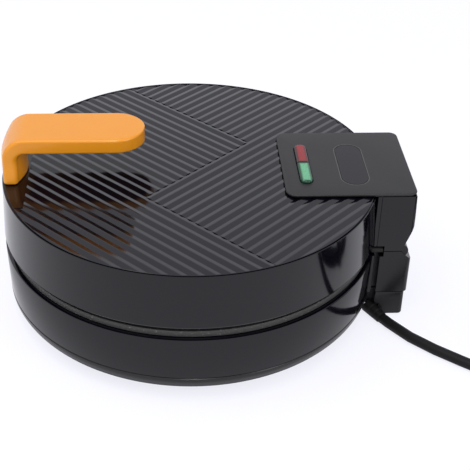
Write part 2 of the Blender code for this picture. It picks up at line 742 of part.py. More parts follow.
def cup_places():
    """Centres of the cups: a ring of three inside a ring of nine."""
    inner = [polar(INNER_CUP_CIRCLE, INNER_CUP_TURN + math.tau * i / INNER_CUPS) for i in range(INNER_CUPS)]
    outer = [polar(OUTER_CUP_CIRCLE, OUTER_CUP_TURN + math.tau * i / OUTER_CUPS) for i in range(OUTER_CUPS)]
    return inner + outer


def balls(name, radius, segments):
    """A ball for each cup, centred on the height where the plates part."""
    bm = bmesh.new()
    for place in cup_places():
        matrix = Matrix.Translation(place + Vector((0, 0, PARTING_HEIGHT)))
        bmesh.ops.create_uvsphere(
            bm, u_segments=segments, v_segments=segments // 2, radius=radius, matrix=matrix
        )
    return bm


def make_plate(name, radius, upward, on_lid):
    """A cast plate with its rim, the cups sunk in it and their domes and bosses behind."""
    side = 1 if upward else -1
    land = PARTING_HEIGHT + side * PLATE_GAP_HALF
    back = land + side * PLATE_THICKNESS
    rim_back = UPPER_FLANGE_TOP if upward else BASE_RIM_HEIGHT + CLEARANCE
    rim_inner = LEDGE_INNER_RADIUS - CLEARANCE
    profile = [
        (0, land),
        (radius, land),
        (radius, rim_back),
        (rim_inner, rim_back),
        (rim_inner, back),
        (0, back),
    ]
    plate = turned(name, profile)
    dome_bm = balls("domes", DOME_RADIUS, DOME_SEGMENTS)
    inside_land = land + side * PLATE_THICKNESS / 3
    bmesh.ops.bisect_plane(
        dome_bm, geom=dome_bm.verts[:] + dome_bm.edges[:] + dome_bm.faces[:],
        plane_co=(0, 0, inside_land), plane_no=(0, 0, -side), clear_outer=True,
    )
    bmesh.ops.holes_fill(dome_bm, edges=[edge for edge in dome_bm.edges if edge.is_boundary])
    domes = from_bmesh(f"{name}_domes", dome_bm)
    boss_end = land + side * (ELEMENT_DEPTH - ELEMENT_RADIUS - CLEARANCE)
    bosses = [
        rod(f"{name}_boss_{i}", polar(ELEMENT_CIRCLE, plate_boss_turn(i), inside_land),
            polar(ELEMENT_CIRCLE, plate_boss_turn(i), boss_end), PLATE_BOSS_RADIUS, segments=HOLE_STEPS)
        for i in range(PLATE_BOSSES)
    ]
    cups = from_bmesh(f"{name}_cups", balls("cups", CUP_RADIUS, CUP_SEGMENTS))
    fuse(plate, domes, together(f"{name}_bosses", bosses))
    cut(plate, cups)
    as_part(plate, NON_STICK, on_lid)


def plate_boss_turn(index):
    return PLATE_BOSS_TURN + math.tau * index / PLATE_BOSSES


def element_points(height):
    """Centre line of a heating element: a ring with two ends that turn outwards to the back."""
    centre_radius = ELEMENT_CIRCLE + ELEMENT_BEND
    shift = math.asin(ELEMENT_BEND / centre_radius)
    left = math.pi / 2 + ELEMENT_TAIL_TURN
    centre = polar(centre_radius, left + shift)
    bend_start = left - math.pi / 2
    bend_end = left + shift - math.pi
    bend = arc_points(centre, ELEMENT_BEND, bend_start, bend_end, 5)
    tail = polar(ELEMENT_TAIL_RADIUS, left)
    first_half = [(tail.x, tail.y)] + bend
    ring_start = left + shift
    ring_end = math.pi * 3 / 2
    ring = arc_points((0, 0), ELEMENT_CIRCLE, ring_start, ring_end, 11)
    left_half = first_half + ring[1:]
    right_half = [(-x, y) for x, y in reversed(left_half[:-1])]
    return [(x, y, height) for x, y in left_half + right_half]


def make_heating(prefix, side, land, on_lid):
    """The tubular element behind a plate and the reflector that covers it."""
    height = land + side * ELEMENT_DEPTH
    element = tube(f"{prefix}_heating_element", element_points(height), ELEMENT_RADIUS)
    as_part(element, STEEL, on_lid)
    near = PARTING_HEIGHT + side * (DOME_RADIUS + CLEARANCE)
    far = near + side * REFLECTOR_THICKNESS
    lip = near - side * REFLECTOR_RIM
    profile = [
        (0, near),
        (REFLECTOR_RADIUS - REFLECTOR_THICKNESS, near),
        (REFLECTOR_RADIUS - REFLECTOR_THICKNESS, lip),
        (REFLECTOR_RADIUS, lip),
        (REFLECTOR_RADIUS, far),
        (0, far),
    ]
    reflector = turned(f"{prefix}_reflector", profile, BODY_STEPS // 2)
    as_part(reflector, ALUMINIUM, on_lid)


def make_controls():
    """The thermostat and the thermal fuse on the back of the lower plate."""
    back = LOWER_LAND - PLATE_THICKNESS - CLEARANCE
    waist = back - THERMOSTAT_NECK_HEIGHT
    low = back - THERMOSTAT_HEIGHT
    profile = [
        (0, back),
        (THERMOSTAT_NECK_RADIUS, back),
        (THERMOSTAT_NECK_RADIUS, waist),
        (THERMOSTAT_RADIUS, waist),
        (THERMOSTAT_RADIUS, low),
        (0, low),
    ]
    thermostat = turned("thermostat", profile, SMALL_STEPS)
    right = math.pi / 2 - ELEMENT_TAIL_TURN
    thermostat.data.transform(Matrix.Translation(polar(THERMOSTAT_CIRCLE, right)))
    as_part(thermostat, CERAMIC)
    left = math.pi / 2 + ELEMENT_TAIL_TURN
    centre = polar(FUSE_CIRCLE, left, back - FUSE_RADIUS)
    along = polar(1, left + math.pi / 2)
    half = FUSE_LENGTH / 2
    fuse_body = rod("thermal_fuse", centre - along * half, centre + along * half, FUSE_RADIUS)
    tip_half = half + FUSE_TIP_LENGTH
    tips = rod("fuse_tips", centre - along * tip_half, centre + along * tip_half, FUSE_TIP_RADIUS,
               segments=HOLE_STEPS)
    fuse(fuse_body, tips)
    as_part(fuse_body, STEEL)


def knuckles(name, spans, radius, grow):
    """Cylinders on the hinge axis over spans of X, each grown at both ends."""
    solids = [
        rod(f"{name}_{i}", (low - grow, HINGE_AXIS_Y, HINGE_AXIS_Z),
            (high + grow, HINGE_AXIS_Y, HINGE_AXIS_Z), radius, segments=HOLE_STEPS)
        for i, (low, high) in enumerate(spans)
    ]
    return together(name, solids)


def base_knuckle_spans():
    return [
        (-KNUCKLE_END, -SIDE_KNUCKLE_START),
        (-MIDDLE_KNUCKLE_END, MIDDLE_KNUCKLE_END),
        (SIDE_KNUCKLE_START, KNUCKLE_END),
    ]


def lid_knuckle_spans():
    inner = MIDDLE_KNUCKLE_END + CLEARANCE
    outer = SIDE_KNUCKLE_START - CLEARANCE
    return [(-outer, -inner), (inner, outer)]


def pin_bore(name):
    """The bore for the pin, which stops inside the outer knuckles."""
    reach = PIN_HALF_LENGTH + CLEARANCE
    return rod(name, (-reach, HINGE_AXIS_Y, HINGE_AXIS_Z), (reach, HINGE_AXIS_Y, HINGE_AXIS_Z),
               PIN_RADIUS + PIN_PLAY, segments=BORE_STEPS)


def make_lower_hinge_housing():
    """The block behind the base, with the base's knuckles and a neck that reaches the wall."""
    low = SEAM_HEIGHT + CLEARANCE / 2
    top = HINGE_AXIS_Z - SPLIT_GAP_HALF
    chamfer_low = HINGE_AXIS_Z - LOWER_CHAMFER_HEIGHT
    side_outline = [
        (LOWER_BLOCK_FRONT_Y, low),
        (BLOCK_REAR_Y, low),
        (BLOCK_REAR_Y, chamfer_low),
        (HINGE_AXIS_Y, top),
        (NOTCH_DEPTH_Y, top),
        (NOTCH_DEPTH_Y, NOTCH_LOW),
        (LOWER_BLOCK_FRONT_Y, NOTCH_LOW),
    ]
    block = prism("lower_hinge_housing", side_outline, -HINGE_HALF_WIDTH, HINGE_HALF_WIDTH, SIDEWAYS)
    corner = BLOCK_CORNER_RADIUS
    plan = rounded_rectangle(-HINGE_HALF_WIDTH, HINGE_HALF_WIDTH, LOWER_BLOCK_FRONT_Y, BLOCK_REAR_Y,
                             corner / 4, corner)
    keep_inside(block, prism("lower_block_plan", plan, low - OVERRUN, top + OVERRUN))
    neck = box(
        "lower_block_neck",
        (-NECK_HALF_WIDTH, BOSS_FACE_Y + CLEARANCE, low),
        (NECK_HALF_WIDTH, LOWER_BLOCK_FRONT_Y + BLOCK_WALL / 2, NOTCH_LOW),
    )
    fuse(block, neck, knuckles("base_knuckles", base_knuckle_spans(), KNUCKLE_RADIUS, 0))
    hollow = box(
        "lower_block_hollow",
        (-HINGE_HALF_WIDTH + BLOCK_WALL, RIM_RADIUS + BLOCK_WALL / 2, low - OVERRUN),
        (HINGE_HALF_WIDTH - BLOCK_WALL, BLOCK_REAR_Y - BLOCK_WALL, chamfer_low - BLOCK_WALL),
    )
    room = KNUCKLE_RADIUS + KNUCKLE_ROOM
    cut(block, around_base(CLEARANCE, low - OVERRUN, BASE_RIM_HEIGHT + OVERRUN, "wall_room"))
    cut(block, hollow, knuckles("lid_knuckle_room", lid_knuckle_spans(), room, CLEARANCE))
    cut(block, pin_bore("base_pin_bore"))
    as_part(block, SATIN_BLACK)


def lid_wall_room():
    """The outside of the lid's wall, grown by a clearance, as a cutter."""
    slope = (RIM_RADIUS - LID_TOP_RADIUS) / (LID_TOP_HEIGHT - LID_EDGE_HEIGHT)
    top = LID_TOP_HEIGHT + OVERRUN
    low = NOTCH_LOW
    return turned("lid_wall_room", [
        (0, top),
        (LID_TOP_RADIUS + CLEARANCE - slope * OVERRUN, top),
        (RIM_RADIUS + CLEARANCE, LID_EDGE_HEIGHT),
        (RIM_RADIUS + CLEARANCE, low),
        (0, low),
    ])


def make_upper_hinge_housing():
    """The block behind the lid, hollow and open on top, with the lid's knuckles."""
    low = HINGE_AXIS_Z + SPLIT_GAP_HALF
    top = LID_TOP_HEIGHT
    chamfer_top = HINGE_AXIS_Z + UPPER_CHAMFER_HEIGHT
    side_outline = [
        (BLOCK_FRONT_Y, top),
        (BLOCK_FRONT_Y, NOTCH_HIGH),
        (NOTCH_DEPTH_Y, NOTCH_HIGH),
        (NOTCH_DEPTH_Y, low),
        (HINGE_AXIS_Y, low),
        (UPPER_BLOCK_REAR_Y + UPPER_BLOCK_BULGE, chamfer_top),
        (UPPER_BLOCK_REAR_Y, top),
    ]
    block = prism("upper_hinge_housing", side_outline, -HINGE_HALF_WIDTH, HINGE_HALF_WIDTH, SIDEWAYS)
    plan = rounded_rectangle(-HINGE_HALF_WIDTH, HINGE_HALF_WIDTH, BLOCK_FRONT_Y,
                             UPPER_BLOCK_REAR_Y + UPPER_BLOCK_BULGE,
                             BLOCK_FRONT_CORNER_RADIUS, BLOCK_CORNER_RADIUS)
    keep_inside(block, prism("upper_block_plan", plan, low - OVERRUN, top + OVERRUN))
    fuse(block, knuckles("lid_knuckles", lid_knuckle_spans(), KNUCKLE_RADIUS, 0))
    hollow = box(
        "upper_block_hollow",
        (-HINGE_HALF_WIDTH + BLOCK_WALL, RIM_RADIUS + BLOCK_WALL / 2, chamfer_top),
        (HINGE_HALF_WIDTH - BLOCK_WALL, UPPER_BLOCK_REAR_Y - BLOCK_WALL, top + OVERRUN),
    )
    grooves = [
        box(f"side_groove_{i}", (x - SIDE_GROOVE_DEPTH, SIDE_GROOVE_Y, NOTCH_HIGH - OVERRUN),
            (x + SIDE_GROOVE_DEPTH, SIDE_GROOVE_Y + SIDE_GROOVE_WIDTH, top + OVERRUN))
        for i, x in enumerate((-HINGE_HALF_WIDTH, HINGE_HALF_WIDTH))
    ]
    room = KNUCKLE_RADIUS + KNUCKLE_ROOM
    cut(block, lid_wall_room(), hollow, together("side_grooves", grooves))
    cut(block, knuckles("base_knuckle_room", base_knuckle_spans(), room, CLEARANCE))
    cut(block, pin_bore("lid_pin_bore"))
    as_part(block, GLOSS_BLACK, on_lid=True)


def make_hinge_pin():
    pin = rod("hinge_pin", (-PIN_HALF_LENGTH, HINGE_AXIS_Y, HINGE_AXIS_Z),
              (PIN_HALF_LENGTH, HINGE_AXIS_Y, HINGE_AXIS_Z), PIN_RADIUS, segments=BORE_STEPS)
    as_part(pin, STEEL)


def make_lead_sleeves():
    """Short sleeves over the lid's leads, seen in the notches at both sides of the hinge."""
    rear = NOTCH_DEPTH_Y - CLEARANCE
    for name, x in (("left_lead_sleeve", -SLEEVE_X), ("right_lead_sleeve", SLEEVE_X)):
        sleeve = rod(name, (x, SLEEVE_FRONT_Y, SLEEVE_Z), (x, rear, SLEEVE_Z), SLEEVE_RADIUS)
        as_part(sleeve, SLEEVE_GREY)


def make_terminal_block():
    """A ceramic block on the rear wall inside the lower hinge housing, with its screw wells."""
    rear = BLOCK_REAR_Y - BLOCK_WALL - CLEARANCE
    low = SEAM_HEIGHT + BLOCK_WALL
    block = box(
        "terminal_block",
        (-TERMINAL_LENGTH / 2, rear - TERMINAL_DEPTH, low),
        (TERMINAL_LENGTH / 2, rear, low + TERMINAL_HEIGHT),
    )
    middle_y = rear - TERMINAL_DEPTH / 2
    wells = []
    for index in range(TERMINAL_WELLS):
        x = TERMINAL_LENGTH * ((index + 0.5) / TERMINAL_WELLS - 0.5)
        wells.append(rod(f"well_{index}", (x, middle_y, low - OVERRUN),
                         (x, middle_y, low + TERMINAL_WELL_DEPTH), TERMINAL_WELL_RADIUS,
                         segments=HOLE_STEPS))
    cut(block, together("terminal_wells", wells))
    as_part(block, CERAMIC)


def zigzag_line(shift):
    """Corners of the line where the two rib directions meet, from the far rim to the near one."""
    along = Vector((1, 1)).normalized()
    across = Vector((-1, 1)).normalized()
    near_offset = ZIGZAG_FAR_OFFSET - RIBS_BETWEEN_RUNS * RIB_PITCH
    first = across * ZIGZAG_FAR_OFFSET + along * ZIGZAG_MIDDLE_OFFSET
    second = across * near_offset + along * ZIGZAG_MIDDLE_OFFSET
    reach = 2 * LID_TOP_RADIUS
    move = Vector((0, -shift))
    return [point + move for point in (first - along * reach, first, second, second + along * reach)]


def rib_area(name, side):
    """The front or back share of the lid's top, as a prism that holds one rib direction."""
    shift = RIB_AREA_OVERLAP if side > 0 else 0
    line = zigzag_line(shift)
    far = 3 * LID_TOP_RADIUS
    outline = [tuple(point) for point in line]
    outline += [(line[3].x, side * far), (line[0].x, side * far)]
    return prism(name, outline, LID_TOP_HEIGHT - OVERRUN, LID_TOP_HEIGHT + OVERRUN)


def rib_teeth(name, away, valley):
    """The space over the ribs: each tooth rises gently away from the near side and drops steeply."""
    base = LID_TOP_HEIGHT - RIB_DEPTH
    crest = LID_TOP_HEIGHT + RIB_CREST_TRIM
    count = math.ceil(LID_TOP_RADIUS / RIB_PITCH) + 1
    start = valley - math.floor(valley / RIB_PITCH) * RIB_PITCH
    outline = []
    for index in range(-count, count):
        low = start + index * RIB_PITCH
        outline.append((low, base))
        outline.append((low + RIB_RISE_SHARE * RIB_PITCH, crest))
    outline.append((start + count * RIB_PITCH, base))
    top = LID_TOP_HEIGHT + OVERRUN / 2
    outline.append((start + count * RIB_PITCH, top))
    outline.append((start - count * RIB_PITCH, top))
    up = Vector((0, 0, 1))
    across = away.cross(up)
    frame = Matrix((away, up, across)).transposed().to_4x4()
    return prism(name, outline, -LID_TOP_RADIUS, LID_TOP_RADIUS, frame)


def rib_cutter(name, side, away, valley):
    """Everything above the ribs on one side of the zigzag, up to the smooth margins."""
    cutter = rib_teeth(name, away, valley)
    disc_radius = LID_TOP_RADIUS - RIB_MARGIN
    disc = turned(f"{name}_disc", [
        (0, LID_TOP_HEIGHT + OVERRUN),
        (disc_radius, LID_TOP_HEIGHT + OVERRUN),
        (disc_radius, LID_TOP_HEIGHT - OVERRUN),
        (0, LID_TOP_HEIGHT - OVERRUN),
    ])
    pad_edge = -LID_TOP_RADIUS + HANDLE_PAD_DEPTH
    pad = box(
        f"{name}_pad",
        (-HANDLE_PAD_HALF_WIDTH, -2 * LID_TOP_RADIUS, LID_TOP_HEIGHT - 2 * OVERRUN),
        (HANDLE_PAD_HALF_WIDTH, pad_edge, LID_TOP_HEIGHT + 2 * OVERRUN),
    )
    keep_inside(cutter, rib_area(f"{name}_area", side), disc)
    return cut(cutter, pad)


def make_lid_shell():
    """The lid's shell, with the zigzag ribs cut into its top and holes for lamps and screws."""
    inner_top = LID_TOP_HEIGHT - LID_TOP_THICKNESS
    ledge_top = LID_EDGE_HEIGHT + LEDGE_THICKNESS
    profile = [
        (0, LID_TOP_HEIGHT),
        (LID_TOP_RADIUS - LID_EDGE, LID_TOP_HEIGHT),
        (LID_TOP_RADIUS - LID_EDGE / 4, LID_TOP_HEIGHT - LID_EDGE / 4),
        (LID_TOP_RADIUS, LID_TOP_HEIGHT - LID_EDGE),
        (RIM_RADIUS, LID_EDGE_HEIGHT + BASE_EDGE),
        (RIM_RADIUS - BASE_EDGE, LID_EDGE_HEIGHT),
        (LEDGE_INNER_RADIUS, LID_EDGE_HEIGHT),
        (LEDGE_INNER_RADIUS, ledge_top),
        (RIM_RADIUS - BODY_WALL, ledge_top),
        (LID_TOP_RADIUS - BODY_WALL, inner_top),
        (0, inner_top),
    ]
    shell = turned("lid_shell", profile)
    diagonal = math.sqrt(0.5)
    front_away = Vector((-diagonal, diagonal, 0))
    rear_away = Vector((-diagonal, -diagonal, 0))
    front = rib_cutter("front_ribs", -1, front_away, ZIGZAG_FAR_OFFSET)
    rear = rib_cutter("rear_ribs", 1, rear_away, -ZIGZAG_MIDDLE_OFFSET)
    high = LID_TOP_HEIGHT + OVERRUN
    low = inner_top - OVERRUN
    holes = [
        rod(f"lamp_hole_{i}", (x, LENS_Y, low), (x, LENS_Y, high), LAMP_RADIUS + CLEARANCE,
            segments=HOLE_STEPS)
        for i, x in enumerate(lens_centres())
    ]
    holes += [
        rod(f"lid_screw_hole_{i}", (x, handle_screw_y(), low), (x, handle_screw_y(), high),
            HANDLE_SCREW_RADIUS + CLEARANCE, segments=HOLE_STEPS)
        for i, x in enumerate(handle_screw_places())
    ]
    cut(shell, together("lid_holes", holes), front, rear)
    as_part(shell, GLOSS_BLACK, on_lid=True)


def lens_centres():
    """X of the middle of the red and the green half of the lens."""
    quarter = LENS_HALF_LENGTH / 2
    return [LENS_X - quarter, LENS_X + quarter]


def make_panel():
    """The flat cover over the lid's back, with the lens slot and a groove round a bare field."""
    outline = rounded_rectangle(-HINGE_HALF_WIDTH, HINGE_HALF_WIDTH, PANEL_FRONT_Y, PANEL_REAR_Y,
                                PANEL_FRONT_CORNER, PANEL_REAR_CORNER)
    panel = prism("hinge_panel", outline, PANEL_UNDERSIDE, PANEL_TOP)
    bevel = panel.modifiers.new("Edge", "BEVEL")
    bevel.width = PANEL_EDGE
    bevel.segments = 1
    bevel.limit_method = "ANGLE"
    bevel.angle_limit = math.radians(60)
    slot_outline = obround(LENS_X, LENS_Y, LENS_HALF_LENGTH + CLEARANCE, LENS_WIDTH + 2 * CLEARANCE)
    slot = prism("lens_slot", slot_outline, PANEL_UNDERSIDE - OVERRUN, PANEL_TOP + OVERRUN)
    cut(panel, slot, field_groove())
    as_part(panel, MATT_BLACK, on_lid=True)


def field_groove():
    """A narrow groove round the bare field behind the lens."""
    wall = FIELD_GROOVE_WIDTH
    outer_outline = obround(FIELD_X, FIELD_Y, FIELD_HALF_LENGTH, FIELD_WIDTH, 6)
    inner_outline = obround(FIELD_X, FIELD_Y, FIELD_HALF_LENGTH - wall, FIELD_WIDTH - 2 * wall, 6)
    groove = prism("field_groove", outer_outline, PANEL_TOP - FIELD_DEPTH, PANEL_TOP + OVERRUN)
    island = prism("field_island", inner_outline, PANEL_TOP - OVERRUN, PANEL_TOP + 2 * OVERRUN)
    return cut(groove, island)


def make_lens(name, side, look):
    """One half of the lens: a half-round outer end and a flat inner end, domed at the edge."""
    top = PANEL_TOP + LENS_PROUD
    outline = obround(LENS_X, LENS_Y, LENS_HALF_LENGTH, LENS_WIDTH)
    lens = prism(name, outline, PANEL_UNDERSIDE, top)
    bevel = lens.modifiers.new("Edge", "BEVEL")
    bevel.width = LENS_EDGE
    bevel.segments = 3
    bevel.limit_method = "ANGLE"
    bevel.angle_limit = math.radians(60)
    inner = side * LENS_SPLIT_GAP / 2
    outer = side * 2 * LENS_HALF_LENGTH
    x_low, x_high = sorted((LENS_X + inner, LENS_X + outer))
    half = box(
        f"{name}_half",
        (x_low, LENS_Y - LENS_WIDTH, PANEL_UNDERSIDE - OVERRUN),
        (x_high, LENS_Y + LENS_WIDTH, top + OVERRUN),
    )
    keep_inside(lens, half)
    as_part(lens, look, on_lid=True)


def make_lamps():
    """A lamp under each lens, standing in its hole in the lid's top."""
    top = PANEL_UNDERSIDE - CLEARANCE
    shoulder = top - LAMP_RADIUS / 2
    low = PARTING_HEIGHT + DOME_RADIUS + CLEARANCE + REFLECTOR_THICKNESS + LAMP_FOOT_ROOM
    profile = [
        (0, top),
        (LAMP_RADIUS / 2, top),
        (LAMP_RADIUS, shoulder),
        (LAMP_RADIUS, low),
        (0, low),
    ]
    for name, x in zip(("red_lamp", "green_lamp"), lens_centres()):
        lamp = turned(name, profile, BORE_STEPS)
        lamp.data.transform(Matrix.Translation((x, LENS_Y, 0)))
        as_part(lamp, LAMP_GLASS, on_lid=True)


def handle_screw_y():
    return HANDLE_OUTER_Y + HANDLE_SCREW_INSET


def handle_screw_places():
    return [-HANDLE_SCREW_SPACING / 2, HANDLE_SCREW_SPACING / 2]


def make_handle_screws():
    """Two screws from inside the lid into the handle's leg."""
    seat = LID_TOP_HEIGHT - LID_TOP_THICKNESS - CLEARANCE
    profile = [
        (0, seat + HANDLE_SCREW_LENGTH),
        (HANDLE_SCREW_RADIUS, seat + HANDLE_SCREW_LENGTH),
        (HANDLE_SCREW_RADIUS, seat),
        (HANDLE_SCREW_HEAD_RADIUS, seat),
        (HANDLE_SCREW_HEAD_RADIUS, seat - HANDLE_SCREW_RADIUS),
        (0, seat - HANDLE_SCREW_RADIUS),
    ]
    for index, x in enumerate(handle_screw_places()):
        screw = turned(f"handle_screw_{index + 1}", profile, HOLE_STEPS)
        screw.data.transform(Matrix.Translation((x, handle_screw_y(), 0)))
        as_part(screw, STEEL, on_lid=True)


def handle_section(half_width, thickness, outer_bulge, inner_bulge, corner):
    """One closed section of the handle: across in X, and out from the side edge of its outer face."""
    flat = half_width - corner
    shares = [-1, -0.5, 0, 0.5, 1]
    outer = [(share * flat, outer_bulge * (1 - share * share)) for share in shares]
    inner = [(-share * flat, -thickness - inner_bulge * (1 - share * share)) for share in shares]
    right_top = arc_points((flat, -corner), corner, math.radians(60), math.radians(0), 3)
    right_low = arc_points((flat, corner - thickness), corner, math.radians(0), math.radians(-60), 3)
    left_low = [(-x, y) for x, y in reversed(right_low)]
    left_top = [(-x, y) for x, y in reversed(right_top)]
    return outer + right_top + right_low + inner + left_low + left_top


def handle_stations():
    """Sections from the foot of the leg, round the bend and along the grip to its round end.

    Each station holds the place and the outward direction of the outer face, in Y and Z, and the
    section's half width, thickness and bulges.
    """
    foot = LID_TOP_HEIGHT + CLEARANCE
    bend_z = HANDLE_TOP_HEIGHT - HANDLE_OUTER_BEND
    bend_y = HANDLE_OUTER_Y + HANDLE_OUTER_BEND
    stations = []
    for share in (0, 0.5):
        width = HANDLE_FOOT_HALF_WIDTH + share * (HANDLE_GRIP_HALF_WIDTH - HANDLE_FOOT_HALF_WIDTH)
        z = foot + share * (bend_z - foot)
        stations.append(((HANDLE_OUTER_Y, z), (-1, 0), width, HANDLE_LEG_THICKNESS, 1.0))
    for index in range(HANDLE_BEND_STATIONS):
        share = index / (HANDLE_BEND_STATIONS - 1)
        turn = share * math.pi / 2
        out = (-math.cos(turn), math.sin(turn))
        place = (bend_y + out[0] * HANDLE_OUTER_BEND, bend_z + out[1] * HANDLE_OUTER_BEND)
        thickness = HANDLE_LEG_THICKNESS + share * (HANDLE_GRIP_THICKNESS - HANDLE_LEG_THICKNESS)
        bulge = max(0.0, 1 - share / HANDLE_BULGE_FADE_SHARE)
        stations.append((place, out, HANDLE_GRIP_HALF_WIDTH, thickness, bulge))
    end_y = HANDLE_TIP_Y - HANDLE_GRIP_HALF_WIDTH
    for index in range(HANDLE_END_STATIONS):
        turn = HANDLE_END_TURN * index / (HANDLE_END_STATIONS - 1)
        place = (end_y + HANDLE_GRIP_HALF_WIDTH * math.sin(turn), HANDLE_TOP_HEIGHT)
        width = HANDLE_GRIP_HALF_WIDTH * math.cos(turn)
        stations.append((place, (0, 1), width, HANDLE_GRIP_THICKNESS, 0.0))
    return stations


def make_handle():
    """A flat strap handle that stands at the lid's rim and reaches back over the lid."""
    bm = bmesh.new()
    rings = []
    for (y, z), (out_y, out_z), half_width, thickness, bulge_share in handle_stations():
        corner = min(HANDLE_CORNER, half_width / 2)
        section = handle_section(half_width, thickness, bulge_share * HANDLE_OUTER_BULGE,
                                 bulge_share * HANDLE_INNER_BULGE, corner)
        rings.append([bm.verts.new((x, y + out * out_y, z + out * out_z)) for x, out in section])
    for ring, following in zip(rings, rings[1:]):
        for i in range(len(ring)):
            j = (i + 1) % len(ring)
            bm.faces.new((ring[i], ring[j], following[j], following[i]))
    bm.faces.new(rings[0])
    bm.faces.new(rings[-1])
    handle = from_bmesh("handle", bm)
    top = LID_TOP_HEIGHT - LID_TOP_THICKNESS + HANDLE_SCREW_LENGTH + CLEARANCE
    holes = [
        rod(f"handle_hole_{i}", (x, handle_screw_y(), LID_TOP_HEIGHT - OVERRUN), (x, handle_screw_y(), top),
            HANDLE_SCREW_RADIUS + CLEARANCE, segments=HOLE_STEPS)
        for i, x in enumerate(handle_screw_places())
    ]
    cut(handle, together("handle_holes", holes))
    as_part(handle, ORANGE, on_lid=True)


def relief_axis():
    """Start and direction of the strain relief, which leans down to the lead's height."""
    start = Vector((RELIEF_START_X, RELIEF_START_Y, RELIEF_START_HEIGHT))
    flat = Vector((math.cos(RELIEF_TURN), math.sin(RELIEF_TURN), 0))
    drop = start.z - CORD_RADIUS
    along = (flat * math.sqrt(RELIEF_LENGTH ** 2 - drop ** 2) - Vector((0, 0, drop))).normalized()
    return start, along


def relief_pocket():
    """The recess in the bottom cover that the strain relief lies in."""
    start, along = relief_axis()
    radius = RELIEF_ROOT_RADIUS + 2 * CLEARANCE
    inner = start - along * CLEARANCE
    return rod("relief_pocket", inner, start + along * RELIEF_LENGTH, radius)


def make_strain_relief():
    """A ringed, tapered sleeve round the lead where it leaves the bottom cover."""
    start, along = relief_axis()
    profile = [(0, RELIEF_LENGTH), (RELIEF_TIP_RADIUS, RELIEF_LENGTH)]
    step = RELIEF_LENGTH / (RELIEF_RINGS + 1)
    for index in range(RELIEF_RINGS):
        height = RELIEF_LENGTH - (index + 1) * step
        share = 1 - height / RELIEF_LENGTH
        radius = RELIEF_TIP_RADIUS + share * (RELIEF_ROOT_RADIUS - RELIEF_TIP_RADIUS)
        profile.append((radius, height + step / 3))
        profile.append((radius - RELIEF_GROOVE, height + step / 6))
        profile.append((radius, height))
    profile += [(RELIEF_ROOT_RADIUS, 0), (0, 0)]
    relief = turned("strain_relief", profile, HOLE_STEPS)
    turn = Vector((0, 0, 1)).rotation_difference(along).to_matrix().to_4x4()
    relief.data.transform(Matrix.Translation(start) @ turn)
    as_part(relief, LEAD_BLACK)


def smooth_points(before_first, points, spacing):
    """Even points on a smooth curve through the route's own points, which leaves them as it came."""
    padded = [before_first] + points + [2 * points[-1] - points[-2]]
    dense = []
    for i in range(1, len(padded) - 2):
        before, here, there, after = padded[i - 1:i + 3]
        for step in range(CORD_SAMPLES_PER_SPAN):
            t = step / CORD_SAMPLES_PER_SPAN
            dense.append(0.5 * (2 * here + (there - before) * t
                                + (2 * before - 5 * here + 4 * there - after) * t ** 2
                                + (3 * here - before - 3 * there + after) * t ** 3))
    dense.append(padded[-2])
    lengths = [0.0]
    for a, b in zip(dense, dense[1:]):
        lengths.append(lengths[-1] + (b - a).length)
    count = max(2, round(lengths[-1] / spacing) + 1)
    result = []
    place = 0
    for index in range(count):
        wanted = lengths[-1] * index / (count - 1)
        while place < len(lengths) - 2 and lengths[place + 1] < wanted:
            place += 1
        span = lengths[place + 1] - lengths[place]
        share = (wanted - lengths[place]) / span if span else 0
        result.append(dense[place].lerp(dense[place + 1], share))
    return result


def cord_points():
    """The lead from its strain relief along the surface to the start of the coil."""
    start, along = relief_axis()
    first = start + along * (RELIEF_LENGTH + CLEARANCE)
    second = first + along * (2 * CORD_RADIUS)
    lift = CORD_RADIUS + CORD_LIFT
    route = [second]
    for index, (x, y) in enumerate(CORD_ROUTE):
        left = len(CORD_ROUTE) - 1 - index
        height = lift if left < CORD_SETTLE_POINTS else CORD_RADIUS
        route.append(Vector((RELIEF_START_X + x, RELIEF_START_Y + y, height)))
    return [first] + smooth_points(first, route, 5 * CORD_RADIUS)


def coil_centre():
    """The coil's centre, placed so that the lead runs into its outer turn without a corner."""
    points = cord_points()
    heading = (points[-1] - points[-2]).normalized()
    start = points[-1] + heading * CLEARANCE
    left = Vector((-heading.y, heading.x, 0)).normalized()
    return start + left * COIL_RADIUS, start, heading


def coil_points():
    """The coil: one layer in, a climb of half a turn, one layer out on top, and the tail to the plug."""
    centre, start, heading = coil_centre()
    first_turn = math.atan2(start.y - centre.y, start.x - centre.x)
    total = coil_turn()
    count = round(total / math.tau * COIL_POINTS_PER_TURN)
    points = [start, start + heading * CORD_RADIUS]
    for index in range(count + 1):
        turned_by = total * index / count
        radius, height = coil_place(turned_by)
        angle = first_turn + turned_by
        place = Vector((centre.x + radius * math.cos(angle), centre.y + radius * math.sin(angle), height))
        if (place - start).length > 3 * CORD_RADIUS or index > count / 2:
            points.append(place)
    end_heading = Vector((-math.sin(first_turn + total), math.cos(first_turn + total), 0))
    return points + tail_points(points[-1], end_heading)


def coil_turn():
    """The angle that the coil turns in all: two layers and the half turn between them."""
    return 2 * COIL_LAYER_TURNS * math.tau + math.pi


